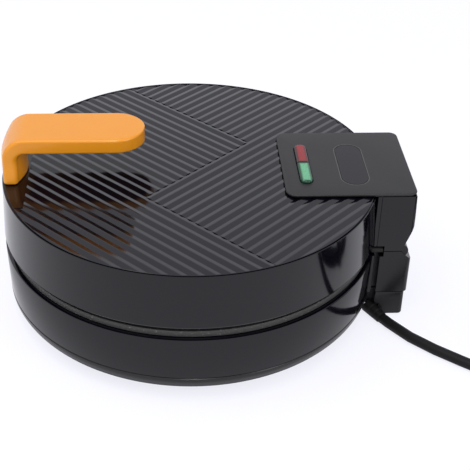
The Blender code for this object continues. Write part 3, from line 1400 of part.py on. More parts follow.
def coil_place(turned_by):
    """Radius and height of the coil's centre line after a turn of that angle."""
    low = CORD_RADIUS + CORD_LIFT
    layer = COIL_LAYER_TURNS * math.tau
    inner_radius = COIL_RADIUS - COIL_STEP * COIL_LAYER_TURNS
    if turned_by < layer:
        return COIL_RADIUS - COIL_STEP * turned_by / math.tau, low
    if turned_by < layer + math.pi:
        share = (turned_by - layer) / math.pi
        ease = share * share * (3 - 2 * share)
        return inner_radius - COIL_CLIMB_DIP * math.sin(math.pi * share), low + COIL_LAYER_STEP * ease
    outward = (turned_by - layer - math.pi) / math.tau
    return inner_radius + COIL_STEP * outward, low + COIL_LAYER_STEP


def tail_points(start, heading):
    """From the coil's top turn, a bend back to a heading along -X and a straight end to the plug."""
    turn_now = math.atan2(heading.y, heading.x)
    turn_wanted = math.pi
    swing = math.remainder(turn_wanted - turn_now, math.tau)
    bend_length = abs(swing) * TAIL_BEND_RADIUS
    step = (bend_length + TAIL_STRAIGHT) / TAIL_POINTS
    points = []
    place = start.copy()
    travelled = 0
    for index in range(TAIL_POINTS):
        middle = travelled + step / 2
        share = min(1.0, middle / bend_length) if bend_length else 1.0
        angle = turn_now + swing * share
        place = place + Vector((math.cos(angle), math.sin(angle), 0)) * step
        travelled += step
        along = (index + 1) / TAIL_POINTS
        ease = min(1.0, along / TAIL_SETTLE_SHARE)
        height = start.z + (PLUG_THICKNESS / 2 - start.z) * ease * ease * (3 - 2 * ease)
        points.append(Vector((place.x, place.y, height)))
    return points


def least_gap(points, radius):
    """The least distance between two stretches of a tube that don't follow each other, less its diameter."""
    reach = math.ceil(3 * radius / min((b - a).length for a, b in zip(points, points[1:]))) + 2
    best = math.inf
    for i, a in enumerate(points):
        for b in points[i + reach + 3:]:
            best = min(best, (b - a).length)
    return best - 2 * radius


def make_cord():
    """The lead's free stretch and the coil of the stretch that is put away."""
    free = cord_points()
    cord = tube("cord", free, CORD_RADIUS, 3)
    as_part(cord, LEAD_BLACK)
    wound = coil_points()
    coil = tube("cord_coil", wound, CORD_RADIUS, 1)
    as_part(coil, LEAD_BLACK)
    length = sum((b - a).length for line in (free, wound) for a, b in zip(line, line[1:]))
    gap = least_gap(wound, CORD_RADIUS)
    print(f"lead length {length:.3f} m, least gap of the coil to itself {gap * 1000:.2f} mm")


def make_cord_tie():
    """A flat strap round the coil's turns, as wide and high as they are where it lies."""
    centre, start, _ = coil_centre()
    first_turn = math.atan2(start.y - centre.y, start.x - centre.x)
    passes = [(TIE_TURN - first_turn) % math.tau + math.tau * i for i in range(math.ceil(coil_turn()))]
    places = [coil_place(passed) for passed in passes if passed < coil_turn()]
    inner = min(radius for radius, _ in places) - CORD_RADIUS - CLEARANCE
    outer = max(radius for radius, _ in places) + CORD_RADIUS + CLEARANCE
    low = CORD_LIFT - CLEARANCE
    high = max(height for _, height in places) + CORD_RADIUS + CLEARANCE
    wall = TIE_THICKNESS
    strap_outline = rounded_rectangle(inner - wall, outer + wall, low - wall, high + wall,
                                      2 * wall, 2 * wall, 4)
    hole_outline = rounded_rectangle(inner, outer, low, high, wall, wall, 4)
    upright = Matrix(((1, 0, 0, 0), (0, 0, -1, 0), (0, 1, 0, 0), (0, 0, 0, 1)))
    place = Matrix.Translation((centre.x, centre.y, 0)) @ Matrix.Rotation(TIE_TURN, 4, "Z") @ upright
    half = TIE_WIDTH / 2
    tie = prism("cord_tie", strap_outline, -half, half, place)
    hole = prism("tie_hole", hole_outline, -half - OVERRUN, half + OVERRUN, place)
    cut(tie, hole)
    as_part(tie, BLACK_RUBBER)


def plug_frame():
    """Where the lead enters the plug, and the direction that it has there."""
    points = coil_points()
    heading = (points[-1] - points[-2]).normalized()
    heading.z = 0
    heading.normalize()
    return points[-1] + heading * CLEARANCE, heading


def make_plug():
    """A moulded two-pin plug with its strain relief and pins, lying beside the coil."""
    start, heading = plug_frame()
    relief_end = start + heading * PLUG_RELIEF_LENGTH
    relief = rod("plug_relief", start, relief_end, PLUG_RELIEF_TIP_RADIUS, PLUG_RELIEF_ROOT_RADIUS,
                 segments=BORE_STEPS)
    as_part(relief, LEAD_BLACK)
    body_start = relief_end + heading * CLEARANCE
    side = Vector((-heading.y, heading.x, 0))
    frame = Matrix((
        (heading.x, side.x, 0, body_start.x),
        (heading.y, side.y, 0, body_start.y),
        (0, 0, 1, body_start.z),
        (0, 0, 0, 1),
    ))
    neck = PLUG_NECK_WIDTH / 2
    half = PLUG_WIDTH / 2
    shoulder = PLUG_LENGTH / 2
    outline = [
        (0, -neck),
        (shoulder / 2, -neck),
        (shoulder, -half),
        (PLUG_LENGTH, -half),
        (PLUG_LENGTH, half),
        (shoulder, half),
        (shoulder / 2, neck),
        (0, neck),
    ]
    body = prism("plug_body", outline, -PLUG_THICKNESS / 2, PLUG_THICKNESS / 2, frame)
    bevel = body.modifiers.new("Edges", "BEVEL")
    bevel.width = PLUG_EDGE
    bevel.segments = 2
    bevel.limit_method = "ANGLE"
    bevel.angle_limit = math.radians(60)
    pins = []
    holes = []
    for index, across in enumerate((-PIN_SPACING / 2, PIN_SPACING / 2)):
        face = body_start + heading * PLUG_LENGTH + side * across
        root = face - heading * PLUG_PIN_SEAT
        tip = face + heading * PLUG_PIN_LENGTH
        pins.append(rod(f"plug_pin_{index + 1}", root, tip, PLUG_PIN_RADIUS, segments=BORE_STEPS))
        holes.append(rod(f"pin_seat_{index}", root - heading * CLEARANCE, face + heading * OVERRUN,
                         PLUG_PIN_RADIUS + CLEARANCE, segments=BORE_STEPS))
    cut(body, together("pin_seats", holes))
    as_part(body, LEAD_BLACK)
    for pin in pins:
        as_part(pin, BRASS_PIN)


def build():
    """Makes every piece of the cooker."""
    global parts, cutters, body_empty, lid_empty
    clear_scene()
    parts = make_collection("cake_pop_maker")
    cutters = make_collection("cutters")
    body_empty = make_empty("body_axis", (0, BODY_CENTRE_Y, 0))
    lid_empty = make_empty("lid_hinge", (0, HINGE_AXIS_Y, HINGE_AXIS_Z), body_empty)
    make_feet()
    make_bottom_cover()
    make_base_shell()
    make_bottom_screws()
    make_plate("lower_plate", PLATE_RADIUS, upward=False, on_lid=False)
    make_heating("lower", -1, LOWER_LAND, on_lid=False)
    make_controls()
    make_lower_hinge_housing()
    make_hinge_pin()
    make_lead_sleeves()
    make_terminal_block()
    make_lid_shell()
    make_plate("upper_plate", UPPER_PLATE_RADIUS, upward=True, on_lid=True)
    make_heating("upper", 1, UPPER_LAND, on_lid=True)
    make_upper_hinge_housing()
    make_panel()
    make_lens("red_lens", -1, RED_LENS)
    make_lens("green_lens", 1, GREEN_LENS)
    make_lamps()
    make_handle()
    make_handle_screws()
    make_strain_relief()
    make_cord()
    make_cord_tie()
    make_plug()
    bpy.context.view_layer.update()


build()
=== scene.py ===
# %% [markdown]
# # A cake pop maker in Blender
#
# The cooker is a flat round box in two halves. The lid is hinged at the back, carries a strap
# handle at the front and has shallow ribs that change direction in a zigzag. Between the halves
# lie two coated plates with half-ball cups. This lesson dresses a finished CAD model: every
# piece keeps its size and place, and gets a finer surface and a finish of its own.

import math
from contextlib import contextmanager

import bmesh
import bpy
from mathutils import Matrix, Vector


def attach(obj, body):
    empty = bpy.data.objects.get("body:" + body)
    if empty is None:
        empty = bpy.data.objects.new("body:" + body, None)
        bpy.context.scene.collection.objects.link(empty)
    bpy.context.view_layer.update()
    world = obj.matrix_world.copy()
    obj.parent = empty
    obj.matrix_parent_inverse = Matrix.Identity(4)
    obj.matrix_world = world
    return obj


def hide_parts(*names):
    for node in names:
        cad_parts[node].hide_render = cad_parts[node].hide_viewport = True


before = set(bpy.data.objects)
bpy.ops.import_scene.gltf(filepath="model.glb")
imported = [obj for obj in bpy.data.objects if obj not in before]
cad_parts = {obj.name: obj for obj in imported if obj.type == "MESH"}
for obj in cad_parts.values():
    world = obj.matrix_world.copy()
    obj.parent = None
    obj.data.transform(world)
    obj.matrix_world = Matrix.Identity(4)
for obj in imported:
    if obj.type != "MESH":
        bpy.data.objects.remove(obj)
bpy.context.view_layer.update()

# %% [markdown]
# Sizes are written in millimetres and measured from the centre of the round body, because that is
# how one would measure the real cooker. The CAD frame has its origin midway between the rim in
# front and the rear of the hinge block, so each piece is shifted by the difference at the end.

# %% Units and origin
MM = 0.001
RIM, BLOCK_REAR = 111.6, 128.9
SHIFT_Y = (RIM - BLOCK_REAR) / 2 * MM
print("shift", round(SHIFT_Y / MM, 2), "mm")

# %% [markdown]
# The photograph was taken from the side, a little above the lid. Its lens and its place were
# worked out from the ellipses of the two rims, so the camera is set from three directions: where
# its right side, its top and its back point.

# %% Camera
scene = bpy.context.scene
PHOTO_WIDTH = 470
FOCAL_PIXELS = 1080.7
SENSOR_MM = 36
CAMERA_PLACE = Vector((0.55006, -0.01546, 0.41057)) + Vector((0, SHIFT_Y, 0))
CAMERA_RIGHT = Vector((0.0601, 0.9979, 0.0239)).normalized()
CAMERA_FORWARD = Vector((-0.8247, 0.0631, -0.5621)).normalized()


def add_camera():
    data = bpy.data.cameras.new("photo_camera")
    data.sensor_width = SENSOR_MM
    data.lens = FOCAL_PIXELS * SENSOR_MM / PHOTO_WIDTH
    data.clip_start, data.clip_end = 0.02, 20
    camera = bpy.data.objects.new("photo_camera", data)
    scene.collection.objects.link(camera)
    up = CAMERA_RIGHT.cross(CAMERA_FORWARD).normalized()
    right = CAMERA_FORWARD.cross(up)
    turn = Matrix((right, up, -CAMERA_FORWARD)).transposed()
    camera.matrix_world = Matrix.Translation(CAMERA_PLACE) @ turn.to_4x4()
    scene.camera = camera
    return camera


camera = add_camera()
print("lens", round(camera.data.lens, 2), "mm")

# %% [markdown]
# The lead is one flexible tube. It leaves the strain relief low at the hinge, lies on the surface
# in an easy curve and goes out of the picture. What the picture doesn't show is wound into a flat
# coil of two layers, with a strap round it and the plug beside it. The centre line is worked out
# here from the listed points of the route and from the rule of the coil.

# %% The lead's route
LEAD_RADIUS = 3.2 * MM
LEAD_LIFT = 1.2 * MM
GAP = 0.3 * MM
LEAD_ROUTE = [(54.3, 120.9), (64.0, 129.1), (73.0, 138.7), (80.8, 148.2), (87.6, 157.2), (96.2, 168.8),
              (105.0, 181.2), (114.0, 194.4)]
RELIEF_START = Vector((32.5, 106.6, 4.7)) * MM
RELIEF_LENGTH = 13 * MM
RELIEF_TURN = math.radians(33)
SPAN_SAMPLES = 24


def relief_direction():
    drop = RELIEF_START.z - LEAD_RADIUS
    run = math.sqrt(RELIEF_LENGTH ** 2 - drop ** 2)
    return Vector((math.cos(RELIEF_TURN) * run, math.sin(RELIEF_TURN) * run, -drop)).normalized()


def smooth_line(before_first, points, spacing):
    """Even points on a smooth curve through chosen ones."""
    padded = [before_first] + points + [2 * points[-1] - points[-2]]
    dense = []
    for i in range(1, len(padded) - 2):
        a, b, c, d = padded[i - 1:i + 3]
        for step in range(SPAN_SAMPLES):
            t = step / SPAN_SAMPLES
            dense.append(0.5 * (2 * b + (c - a) * t + (2 * a - 5 * b + 4 * c - d) * t ** 2
                                + (3 * b - a - 3 * c + d) * t ** 3))
    dense.append(padded[-2])
    return even_line(dense, spacing)


def even_line(dense, spacing):
    lengths = [0.0]
    for a, b in zip(dense, dense[1:]):
        lengths.append(lengths[-1] + (b - a).length)
    count = max(2, round(lengths[-1] / spacing) + 1)
    result, place = [], 0
    for index in range(count):
        wanted = lengths[-1] * index / (count - 1)
        while place < len(lengths) - 2 and lengths[place + 1] < wanted:
            place += 1
        span = lengths[place + 1] - lengths[place]
        result.append(dense[place].lerp(dense[place + 1], (wanted - lengths[place]) / span if span else 0))
    return result


def free_line():
    along = relief_direction()
    first = RELIEF_START + along * (RELIEF_LENGTH + GAP)
    second = first + along * (2 * LEAD_RADIUS)
    second.z = LEAD_RADIUS
    route = [second]
    for index, (x, y) in enumerate(LEAD_ROUTE):
        height = LEAD_RADIUS + (LEAD_LIFT if index >= len(LEAD_ROUTE) - 2 else 0)
        route.append(Vector((x * MM, y * MM, height)))
    return [first] + smooth_line(first, route, 5 * LEAD_RADIUS)


free_points = free_line()
print("free points", len(free_points))

# %% [markdown]
# The coil starts where the free part ends and winds inwards on the surface. It then climbs by one
# step and winds outwards on top of itself, and its last stretch turns away to the plug. All of it
# is one rule for the distance from the centre and the height after a given angle.

# %% The lead's coil
COIL_RADIUS, COIL_STEP, COIL_DIP = 39.2 * MM, 7.2 * MM, 1.0 * MM
COIL_TURNS = 1.45
COIL_POINTS = 48
PLUG_THICKNESS = 20 * MM
TAIL_BEND = 9 * LEAD_RADIUS
TAIL_STRAIGHT = 30 * MM
TAIL_POINTS = 12


def coil_turn():
    return 2 * COIL_TURNS * math.tau + math.pi


def coil_place(passed):
    """Distance from the coil's centre and height of the lead's line after that angle."""
    low = LEAD_RADIUS + LEAD_LIFT
    layer = COIL_TURNS * math.tau
    inner = COIL_RADIUS - COIL_STEP * COIL_TURNS
    if passed < layer:
        return COIL_RADIUS - COIL_STEP * passed / math.tau, low
    if passed < layer + math.pi:
        share = (passed - layer) / math.pi
        return inner - COIL_DIP * math.sin(math.pi * share), low + COIL_STEP * share * share * (3 - 2 * share)
    return inner + COIL_STEP * (passed - layer - math.pi) / math.tau, low + COIL_STEP


def coil_frame(free):
    heading = (free[-1] - free[-2]).normalized()
    start = free[-1] + heading * GAP
    left = Vector((-heading.y, heading.x, 0)).normalized()
    centre = start + left * COIL_RADIUS
    return centre, start, heading, math.atan2(start.y - centre.y, start.x - centre.x)


def tail_line(start, heading):
    """From the top turn round to the left and on to the plug."""
    turn_now = math.atan2(heading.y, heading.x)
    swing = math.remainder(math.pi - turn_now, math.tau)
    bend = abs(swing) * TAIL_BEND
    step = (bend + TAIL_STRAIGHT) / TAIL_POINTS
    points, place, passed = [], start.copy(), 0
    for index in range(TAIL_POINTS):
        share = min(1.0, (passed + step / 2) / bend) if bend else 1.0
        angle = turn_now + swing * share
        place = place + Vector((math.cos(angle), math.sin(angle), 0)) * step
        passed += step
        ease = min(1.0, (index + 1) / TAIL_POINTS * 1.25)
        height = start.z + (PLUG_THICKNESS / 2 - start.z) * ease * ease * (3 - 2 * ease)
        points.append(Vector((place.x, place.y, height)))
    return points


def coil_line(free):
    centre, start, heading, first_turn = coil_frame(free)
    total = coil_turn()
    count = round(total / math.tau * COIL_POINTS)
    points = [start, start + heading * LEAD_RADIUS]
    for index in range(count + 1):
        passed = total * index / count
        radius, height = coil_place(passed)
        angle = first_turn + passed
        place = Vector((centre.x + radius * math.cos(angle), centre.y + radius * math.sin(angle), height))
        if (place - start).length > 3 * LEAD_RADIUS or index > count / 2:
            points.append(place)
    end = first_turn + total
    return points + tail_line(points[-1], Vector((-math.sin(end), math.cos(end), 0)))


def shifted(points):
    return [p + Vector((0, SHIFT_Y, 0)) for p in points]


wound_points = coil_line(free_points)
lead_points = shifted(free_points + wound_points)

# %% [markdown]
# A few small helpers make most of the pieces. A turned piece is a profile with a Screw modifier,
# a moulded block is an extruded outline, and pieces are joined and cut with exact Booleans whose
# result is kept as a plain mesh, so nothing hidden stays behind.

# %% Helpers for solids
WELD = 0.000001
FINE = 192


def add_object(name, data):
    obj = bpy.data.objects.new(name, data)
    scene.collection.objects.link(obj)
    return obj


@contextmanager
def editing(obj):
    """Opens an object's mesh for editing and writes it back."""
    bm = bmesh.new()
    bm.from_mesh(obj.data)
    yield bm
    bm.to_mesh(obj.data)
    bm.free()


def from_bmesh(name, bm):
    bmesh.ops.recalc_face_normals(bm, faces=bm.faces)
    mesh = bpy.data.meshes.new(name)
    bm.to_mesh(mesh)
    bm.free()
    return add_object(name, mesh)


def settled(obj):
    """Keeps what the modifiers make as the object's own mesh."""
    bpy.context.view_layer.update()
    depsgraph = bpy.context.evaluated_depsgraph_get()
    mesh = bpy.data.meshes.new_from_object(obj.evaluated_get(depsgraph))
    name = obj.name
    bpy.data.objects.remove(obj)
    bm = bmesh.new()
    bm.from_mesh(mesh)
    bmesh.ops.remove_doubles(bm, verts=bm.verts, dist=WELD)
    bpy.data.meshes.remove(mesh)
    return from_bmesh(name, bm)


def moved(obj, place):
    """Moves an object's mesh, with the place in metres."""
    obj.data.transform(Matrix.Translation(place))
    return obj


def turned(name, profile, steps=FINE, closed=False):
    """Turns a profile of radius and height, in millimetres, round the upright axis."""
    mesh = bpy.data.meshes.new(name + "_profile")
    count = len(profile)
    edges = [(i, i + 1) for i in range(count - 1)] + ([(count - 1, 0)] if closed else [])
    mesh.from_pydata([(r * MM, 0, z * MM) for r, z in profile], edges, [])
    obj = add_object(name, mesh)
    screw = obj.modifiers.new("Turn", "SCREW")
    screw.steps = screw.render_steps = steps
    screw.use_merge_vertices = True
    screw.merge_threshold = WELD
    obj = settled(obj)
    with editing(obj) as bm:
        centre = [v for v in bm.verts if math.hypot(v.co.x, v.co.y) < WELD and len(v.link_edges) > 2]
        bmesh.ops.dissolve_verts(bm, verts=centre)
    return obj


def prism(name, outline, low, high, turn=Matrix.Identity(4)):
    """Extrudes an outline in millimetres from low to high."""
    curve = bpy.data.curves.new(name, "CURVE")
    curve.dimensions = "2D"
    curve.fill_mode = "BOTH"
    curve.extrude = (high - low) / 2 * MM
    spline = curve.splines.new("POLY")
    spline.points.add(len(outline) - 1)
    for point, (u, v) in zip(spline.points, outline):
        point.co = (u * MM, v * MM, 0, 1)
    spline.use_cyclic_u = True
    obj = settled(add_object(name, curve))
    with editing(obj) as bm:
        bmesh.ops.translate(bm, verts=bm.verts, vec=(0, 0, (low + high) / 2 * MM))
        bmesh.ops.dissolve_limit(bm, angle_limit=math.radians(0.5), verts=bm.verts, edges=bm.edges)
        bmesh.ops.transform(bm, matrix=turn, verts=bm.verts)
        bmesh.ops.recalc_face_normals(bm, faces=bm.faces)
    return obj


def box(name, low, high):
    low, high = Vector(low) * MM, Vector(high) * MM
    bm = bmesh.new()
    bmesh.ops.create_cube(bm, size=1)
    bmesh.ops.scale(bm, vec=high - low, verts=bm.verts)
    bmesh.ops.translate(bm, vec=(low + high) / 2, verts=bm.verts)
    return from_bmesh(name, bm)


def rod(name, start, end, radius, segments=48):
    start, end = Vector(start) * MM, Vector(end) * MM
    bm = bmesh.new()
    bmesh.ops.create_cone(bm, cap_ends=True, segments=segments, radius1=radius * MM, radius2=radius * MM,
                          depth=(end - start).length)
    turn = Vector((0, 0, 1)).rotation_difference(end - start).to_matrix().to_4x4()
    bmesh.ops.transform(bm, matrix=Matrix.Translation((start + end) / 2) @ turn, verts=bm.verts)
    return from_bmesh(name, bm)


def tube(name, points, radius, sides=4):
    """A round tube along points, with closed ends."""
    curve = bpy.data.curves.new(name, "CURVE")
    curve.dimensions = "3D"
    curve.bevel_depth = radius
    curve.bevel_resolution = sides
    curve.use_fill_caps = True
    spline = curve.splines.new("POLY")
    spline.points.add(len(points) - 1)
    for point, place in zip(spline.points, points):
        point.co = (*place, 1)
    return add_object(name, curve)


def together(solids):
    with editing(solids[0]) as bm:
        for solid in solids[1:]:
            bm.from_mesh(solid.data)
    for solid in solids[1:]:
        bpy.data.objects.remove(solid)
    return solids[0]


def joiner(operation):
    """A function that runs one exact Boolean with each tool and keeps the result."""
    def join(target, *tools):
        for tool in tools:
            modifier = target.modifiers.new("Join", "BOOLEAN")
            modifier.operation, modifier.solver, modifier.object = operation, "EXACT", tool
        result = settled(target)
        for tool in tools:
            bpy.data.objects.remove(tool)
        return result
    return join


cut, fused, inside = joiner("DIFFERENCE"), joiner("UNION"), joiner("INTERSECT")


def rounded(obj, width, segments=3, angle=50):
    """Rounds the sharp edges, as the radius of a mould does."""
    bevel = obj.modifiers.new("Round", "BEVEL")
    bevel.width = width * MM
    bevel.segments = segments
    bevel.limit_method = "ANGLE"
    bevel.angle_limit = math.radians(angle)
    bevel.harden_normals = False
    return settled(obj)


print("helpers for solids ready")

# %% [markdown]
# Outlines and profiles are lists of points. Most of them are straight runs and arcs, so three
# functions draw an arc, a rectangle with round corners and a slot with round ends. The last helper
# brings a finished piece to its place, smooths it, gives it its finish, attaches it to its body
# and hides the CAD parts that it stands for.

# %% Helpers for outlines
def arc(centre, radius, start, end, count):
    turns = [math.radians(start + (end - start) * i / (count - 1)) for i in range(count)]
    return [(centre[0] + radius * math.cos(a), centre[1] + radius * math.sin(a)) for a in turns]


def rounded_rectangle(x0, x1, y0, y1, low_radius, high_radius, count=12):
    points = arc((x1 - high_radius, y1 - high_radius), high_radius, 0, 90, count)
    points += arc((x0 + high_radius, y1 - high_radius), high_radius, 90, 180, count)
    points += arc((x0 + low_radius, y0 + low_radius), low_radius, 180, 270, count)
    return points + arc((x1 - low_radius, y0 + low_radius), low_radius, 270, 360, count)


def obround(x, y, half_length, width, count=24):
    radius = width / 2
    points = arc((x + half_length - radius, y), radius, -90, 90, count)
    return points + arc((x - half_length + radius, y), radius, 90, 270, count)


def polar(radius, degrees, height=0.0):
    turn = math.radians(degrees)
    return Vector((radius * math.cos(turn), radius * math.sin(turn), height))


def finished(obj, body, finish, *nodes, sharp=25, slot=None):
    """Brings a piece to its place, smooths it, gives it its finish, attaches it to its body and hides the CAD
    parts it stands for. The slot argument is not used.
    """
    if obj.type == "MESH":
        moved(obj, (0, SHIFT_Y, 0))
        obj.data.shade_smooth()
        obj.data.set_sharp_from_angle(angle=math.radians(sharp))
    obj.data.materials.clear()
    obj.data.materials.append(finish)
    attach(obj, body)
    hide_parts(*nodes)
    return obj


print("helpers for outlines ready")

# %% [markdown]
# A finish is worked out as a field over the surface: a number or a colour at each point. The
# class below wraps one socket of a node, so that a formula in Python becomes the nodes that work
# it out. Only values that really change over the surface are linked; a plain number is set on
# the shader itself.

# %% Helpers for finishes
def maths(operation, swapped=False):
    """A method that adds one Math node."""
    def method(self, other=None):
        first, second = (other, self) if swapped else (self, other)
        values = {0: first} if other is None else {0: first, 1: second}
        return self.owner.node("Math", {"operation": operation}, values)["Value"]
    return method


class Field:
    """One output of a node, with the operators of arithmetic."""

    __add__, __radd__ = maths("ADD"), maths("ADD", True)
    __sub__, __rsub__ = maths("SUBTRACT"), maths("SUBTRACT", True)
    __mul__, __rmul__ = maths("MULTIPLY"), maths("MULTIPLY", True)
    __truediv__, __rtruediv__ = maths("DIVIDE"), maths("DIVIDE", True)
    size, root = maths("ABSOLUTE"), maths("SQRT")
    least, most = maths("MINIMUM"), maths("MAXIMUM")

    def __init__(self, owner, socket):
        self.owner = owner
        self.socket = socket

    def ramp(self, start, end):
        """0 below start, 1 above end and a soft step between them."""
        values = {"Value": self, "From Min": start, "From Max": end, "To Min": 0.0, "To Max": 1.0}
        return self.owner.node("MapRange", {"interpolation_type": "SMOOTHSTEP"}, values)["Result"]


class Outputs:
    """A node's outputs by name, each as a field."""

    def __init__(self, owner, node):
        self.owner = owner
        self.node = node

    def __getitem__(self, name):
        found = [s for s in self.node.outputs if s.name == name and s.enabled]
        return Field(self.owner, found[0])


class Nodes:
    """A tree of nodes that grows by formulas."""

    def __init__(self, owner):
        owner.use_nodes = True
        self.tree = owner.node_tree

    def join(self, socket, value):
        if isinstance(value, Field):
            self.tree.links.new(value.socket, socket)
        elif isinstance(value, tuple) and len(value) == 3 and socket.type == "RGBA":
            socket.default_value = (*value, 1.0)
        else:
            socket.default_value = value

    def node(self, kind, settings, inputs):
        """Any node, with its settings, and with values or fields for its inputs by name or number."""
        node = self.tree.nodes.new("ShaderNode" + kind)
        for setting, value in settings.items():
            setattr(node, setting, value)
        for key, value in inputs.items():
            named = [s for s in node.inputs if s.name == key and s.enabled]
            self.join(named[0] if named else node.inputs[key], value)
        return Outputs(self, node)


class Finish(Nodes):
    """A material that is written as formulas."""

    def __init__(self, name, **values):
        self.material = bpy.data.materials.new(name)
        super().__init__(self.material)
        self.shader = self.tree.nodes["Principled BSDF"]
        self.place = self.node("TexCoord", {}, {})["Object"]
        for socket, value in values.items():
            self.set(socket.replace("_", " "), value)

    def set(self, socket, value):
        self.join(self.shader.inputs[socket], value)

    def noise(self, size, detail=2.0, rough=0.5, place=None):
        """Noise whose lumps are about that many millimetres wide."""
        inputs = {"Vector": place or self.place, "Scale": 1 / (size * MM)}
        inputs |= {"Detail": detail, "Roughness": rough}
        return self.node("TexNoise", {"noise_dimensions": "3D"}, inputs)["Fac"]

    def cells(self, size):
        inputs = {"Vector": self.place, "Scale": 1 / (size * MM)}
        return self.node("TexVoronoi", {"feature": "F1"}, inputs)["Distance"]

    def mixed(self, share, first, second):
        inputs = {"Factor": share, "A": first, "B": second}
        return self.node("Mix", {"data_type": "RGBA"}, inputs)["Result"]

    def split(self):
        return self.node("SeparateXYZ", {}, {"Vector": self.place})

    def stretched(self, x, y, z):
        inputs = {"Vector": self.place, "Scale": (x, y, z)}
        return self.node("Mapping", {}, inputs)["Vector"]

    def raised(self, height, millimetres, strength=1.0):
        """Feeds a height, in shares of a depth in millimetres, to the shader's normal."""
        inputs = {"Strength": strength, "Distance": millimetres * MM, "Height": height}
        self.set("Normal", self.node("Bump", {}, inputs)["Normal"])

    def dressed(self, share, dark, light, rough, height=None, depth=0.02, strength=0.5):
        """The end of each finish: a mix of two colours, a roughness and a relief."""
        self.set("Base Color", self.mixed(share, dark, light))
        self.set("Roughness", rough)
        if height:
            self.raised(height, depth, strength)
        return self.material


print("finish helpers ready")

# %% [markdown]
# The lid and the base wall are moulded in glossy black plastic. Polished moulds leave a very
# faint waviness and a few dull patches from handling, which is what tells plastic from glass, so
# both are in the finish, far weaker than one would draw them at first. The bottom cover is satin,
# and dull underneath. The panel is matt, with a smoother and darker field inside a pale line.

# %% Black plastics
LENS_X, LENS_MIDDLE, LENS_HALF, LENS_WIDTH = 2.4, 65.6, 21.7, 7.5
FIELD_MIDDLE, FIELD_HALF, FIELD_WIDTH = 94.2, 23.3, 16.1


def gloss_black():
    finish = Finish("gloss_black", IOR=1.42)
    wear = finish.noise(34, 3, 0.6).ramp(0.45, 0.75)
    dust = finish.noise(1.1, 2, 0.6).ramp(0.70, 0.82)
    waves, peel = finish.noise(14, 1, 0.4), finish.noise(0.9, 2, 0.5)
    return finish.dressed(dust * 0.35, (0.0020, 0.0019, 0.0042), (0.022, 0.022, 0.026),
                          0.085 + wear * 0.05 + dust * 0.12, waves * 0.8 + peel * 0.06, 0.05, 0.35)


def satin_black():
    finish = Finish("satin_black", IOR=1.40)
    patch = finish.noise(22, 3, 0.6)
    below = 1 - (finish.split()["Z"] / MM).ramp(11, 16)
    return finish.dressed(patch, (0.003, 0.003, 0.0045), (0.006, 0.006, 0.008),
                          0.20 + patch * 0.10 + below * 0.35, finish.noise(0.45, 2, 0.55))


def matt_black():
    finish = Finish("matt_black", IOR=1.46)
    place = finish.split()
    radius = FIELD_WIDTH / 2
    along = ((place["X"] / MM - LENS_X).size() - (FIELD_HALF - radius)).most(0.0)
    across = place["Y"] / MM - (FIELD_MIDDLE + SHIFT_Y / MM)
    distance = (along * along + across * across).root() - radius
    field = 1 - distance.ramp(-0.8, -0.5)
    lip = distance.ramp(-0.05, 0.12) * (1 - distance.ramp(0.3, 0.65))
    patch = finish.noise(18, 3, 0.6)
    ground = finish.mixed(patch, (0.005, 0.005, 0.005), (0.010, 0.010, 0.0105))
    ground = finish.mixed(field, ground, (0.0012, 0.0012, 0.0030))
    finish.set("Metallic", field * 0.30)
    grain = finish.cells(0.55) * 0.6 + finish.noise(0.3, 2, 0.5) * 0.4
    return finish.dressed(lip * 0.8, ground, (0.085, 0.085, 0.085),
                          0.42 + patch * 0.10 - field * 0.18 - lip * 0.12,
                          grain * (1 - field * 0.7), 0.035, 0.6)


GLOSS_BLACK, SATIN_BLACK, MATT_BLACK = gloss_black(), satin_black(), matt_black()
print("black finishes", GLOSS_BLACK.name, SATIN_BLACK.name, MATT_BLACK.name)

# %% [markdown]
# The plates are cast aluminium with a sprayed non-stick coat. Spray dries as a fine grain with
# brighter specks, so the coat's colour, its roughness and its bumps all follow the same two
# noises. The rim of the lower plate shows as a grainy ring between the two halves. The handle is
# orange plastic that lets a little light in, which keeps its shaded sides warm.

# %% Non-stick coat and orange plastic
def non_stick():
    finish = Finish("non_stick", IOR=1.5, Metallic=0.35)
    grain = finish.noise(0.7, 3, 0.65)
    speck = finish.noise(1.3, 2, 0.7).ramp(0.60, 0.72)
    shade = finish.mixed(grain, (0.024, 0.024, 0.024), (0.085, 0.084, 0.082))
    return finish.dressed(speck * 0.6, shade, (0.28, 0.278, 0.27), 0.36 + grain * 0.22,
                          grain + speck * 0.3, 0.09, 0.7)


def orange_plastic():
    finish = Finish("orange_plastic", IOR=1.47, Subsurface_Weight=0.16,
                    Subsurface_Radius=(0.005, 0.0018, 0.0004))
    cloud, fine = finish.noise(26, 3, 0.55), finish.noise(0.6, 2, 0.5)
    return finish.dressed(cloud, (0.81, 0.300, 0.010), (0.85, 0.319, 0.014),
                          0.17 + finish.noise(5, 2, 0.6) * 0.08, fine + finish.noise(9, 1, 0.5) * 2)


NON_STICK, ORANGE = non_stick(), orange_plastic()
print("coat and handle finishes", NON_STICK.name, ORANGE.name)
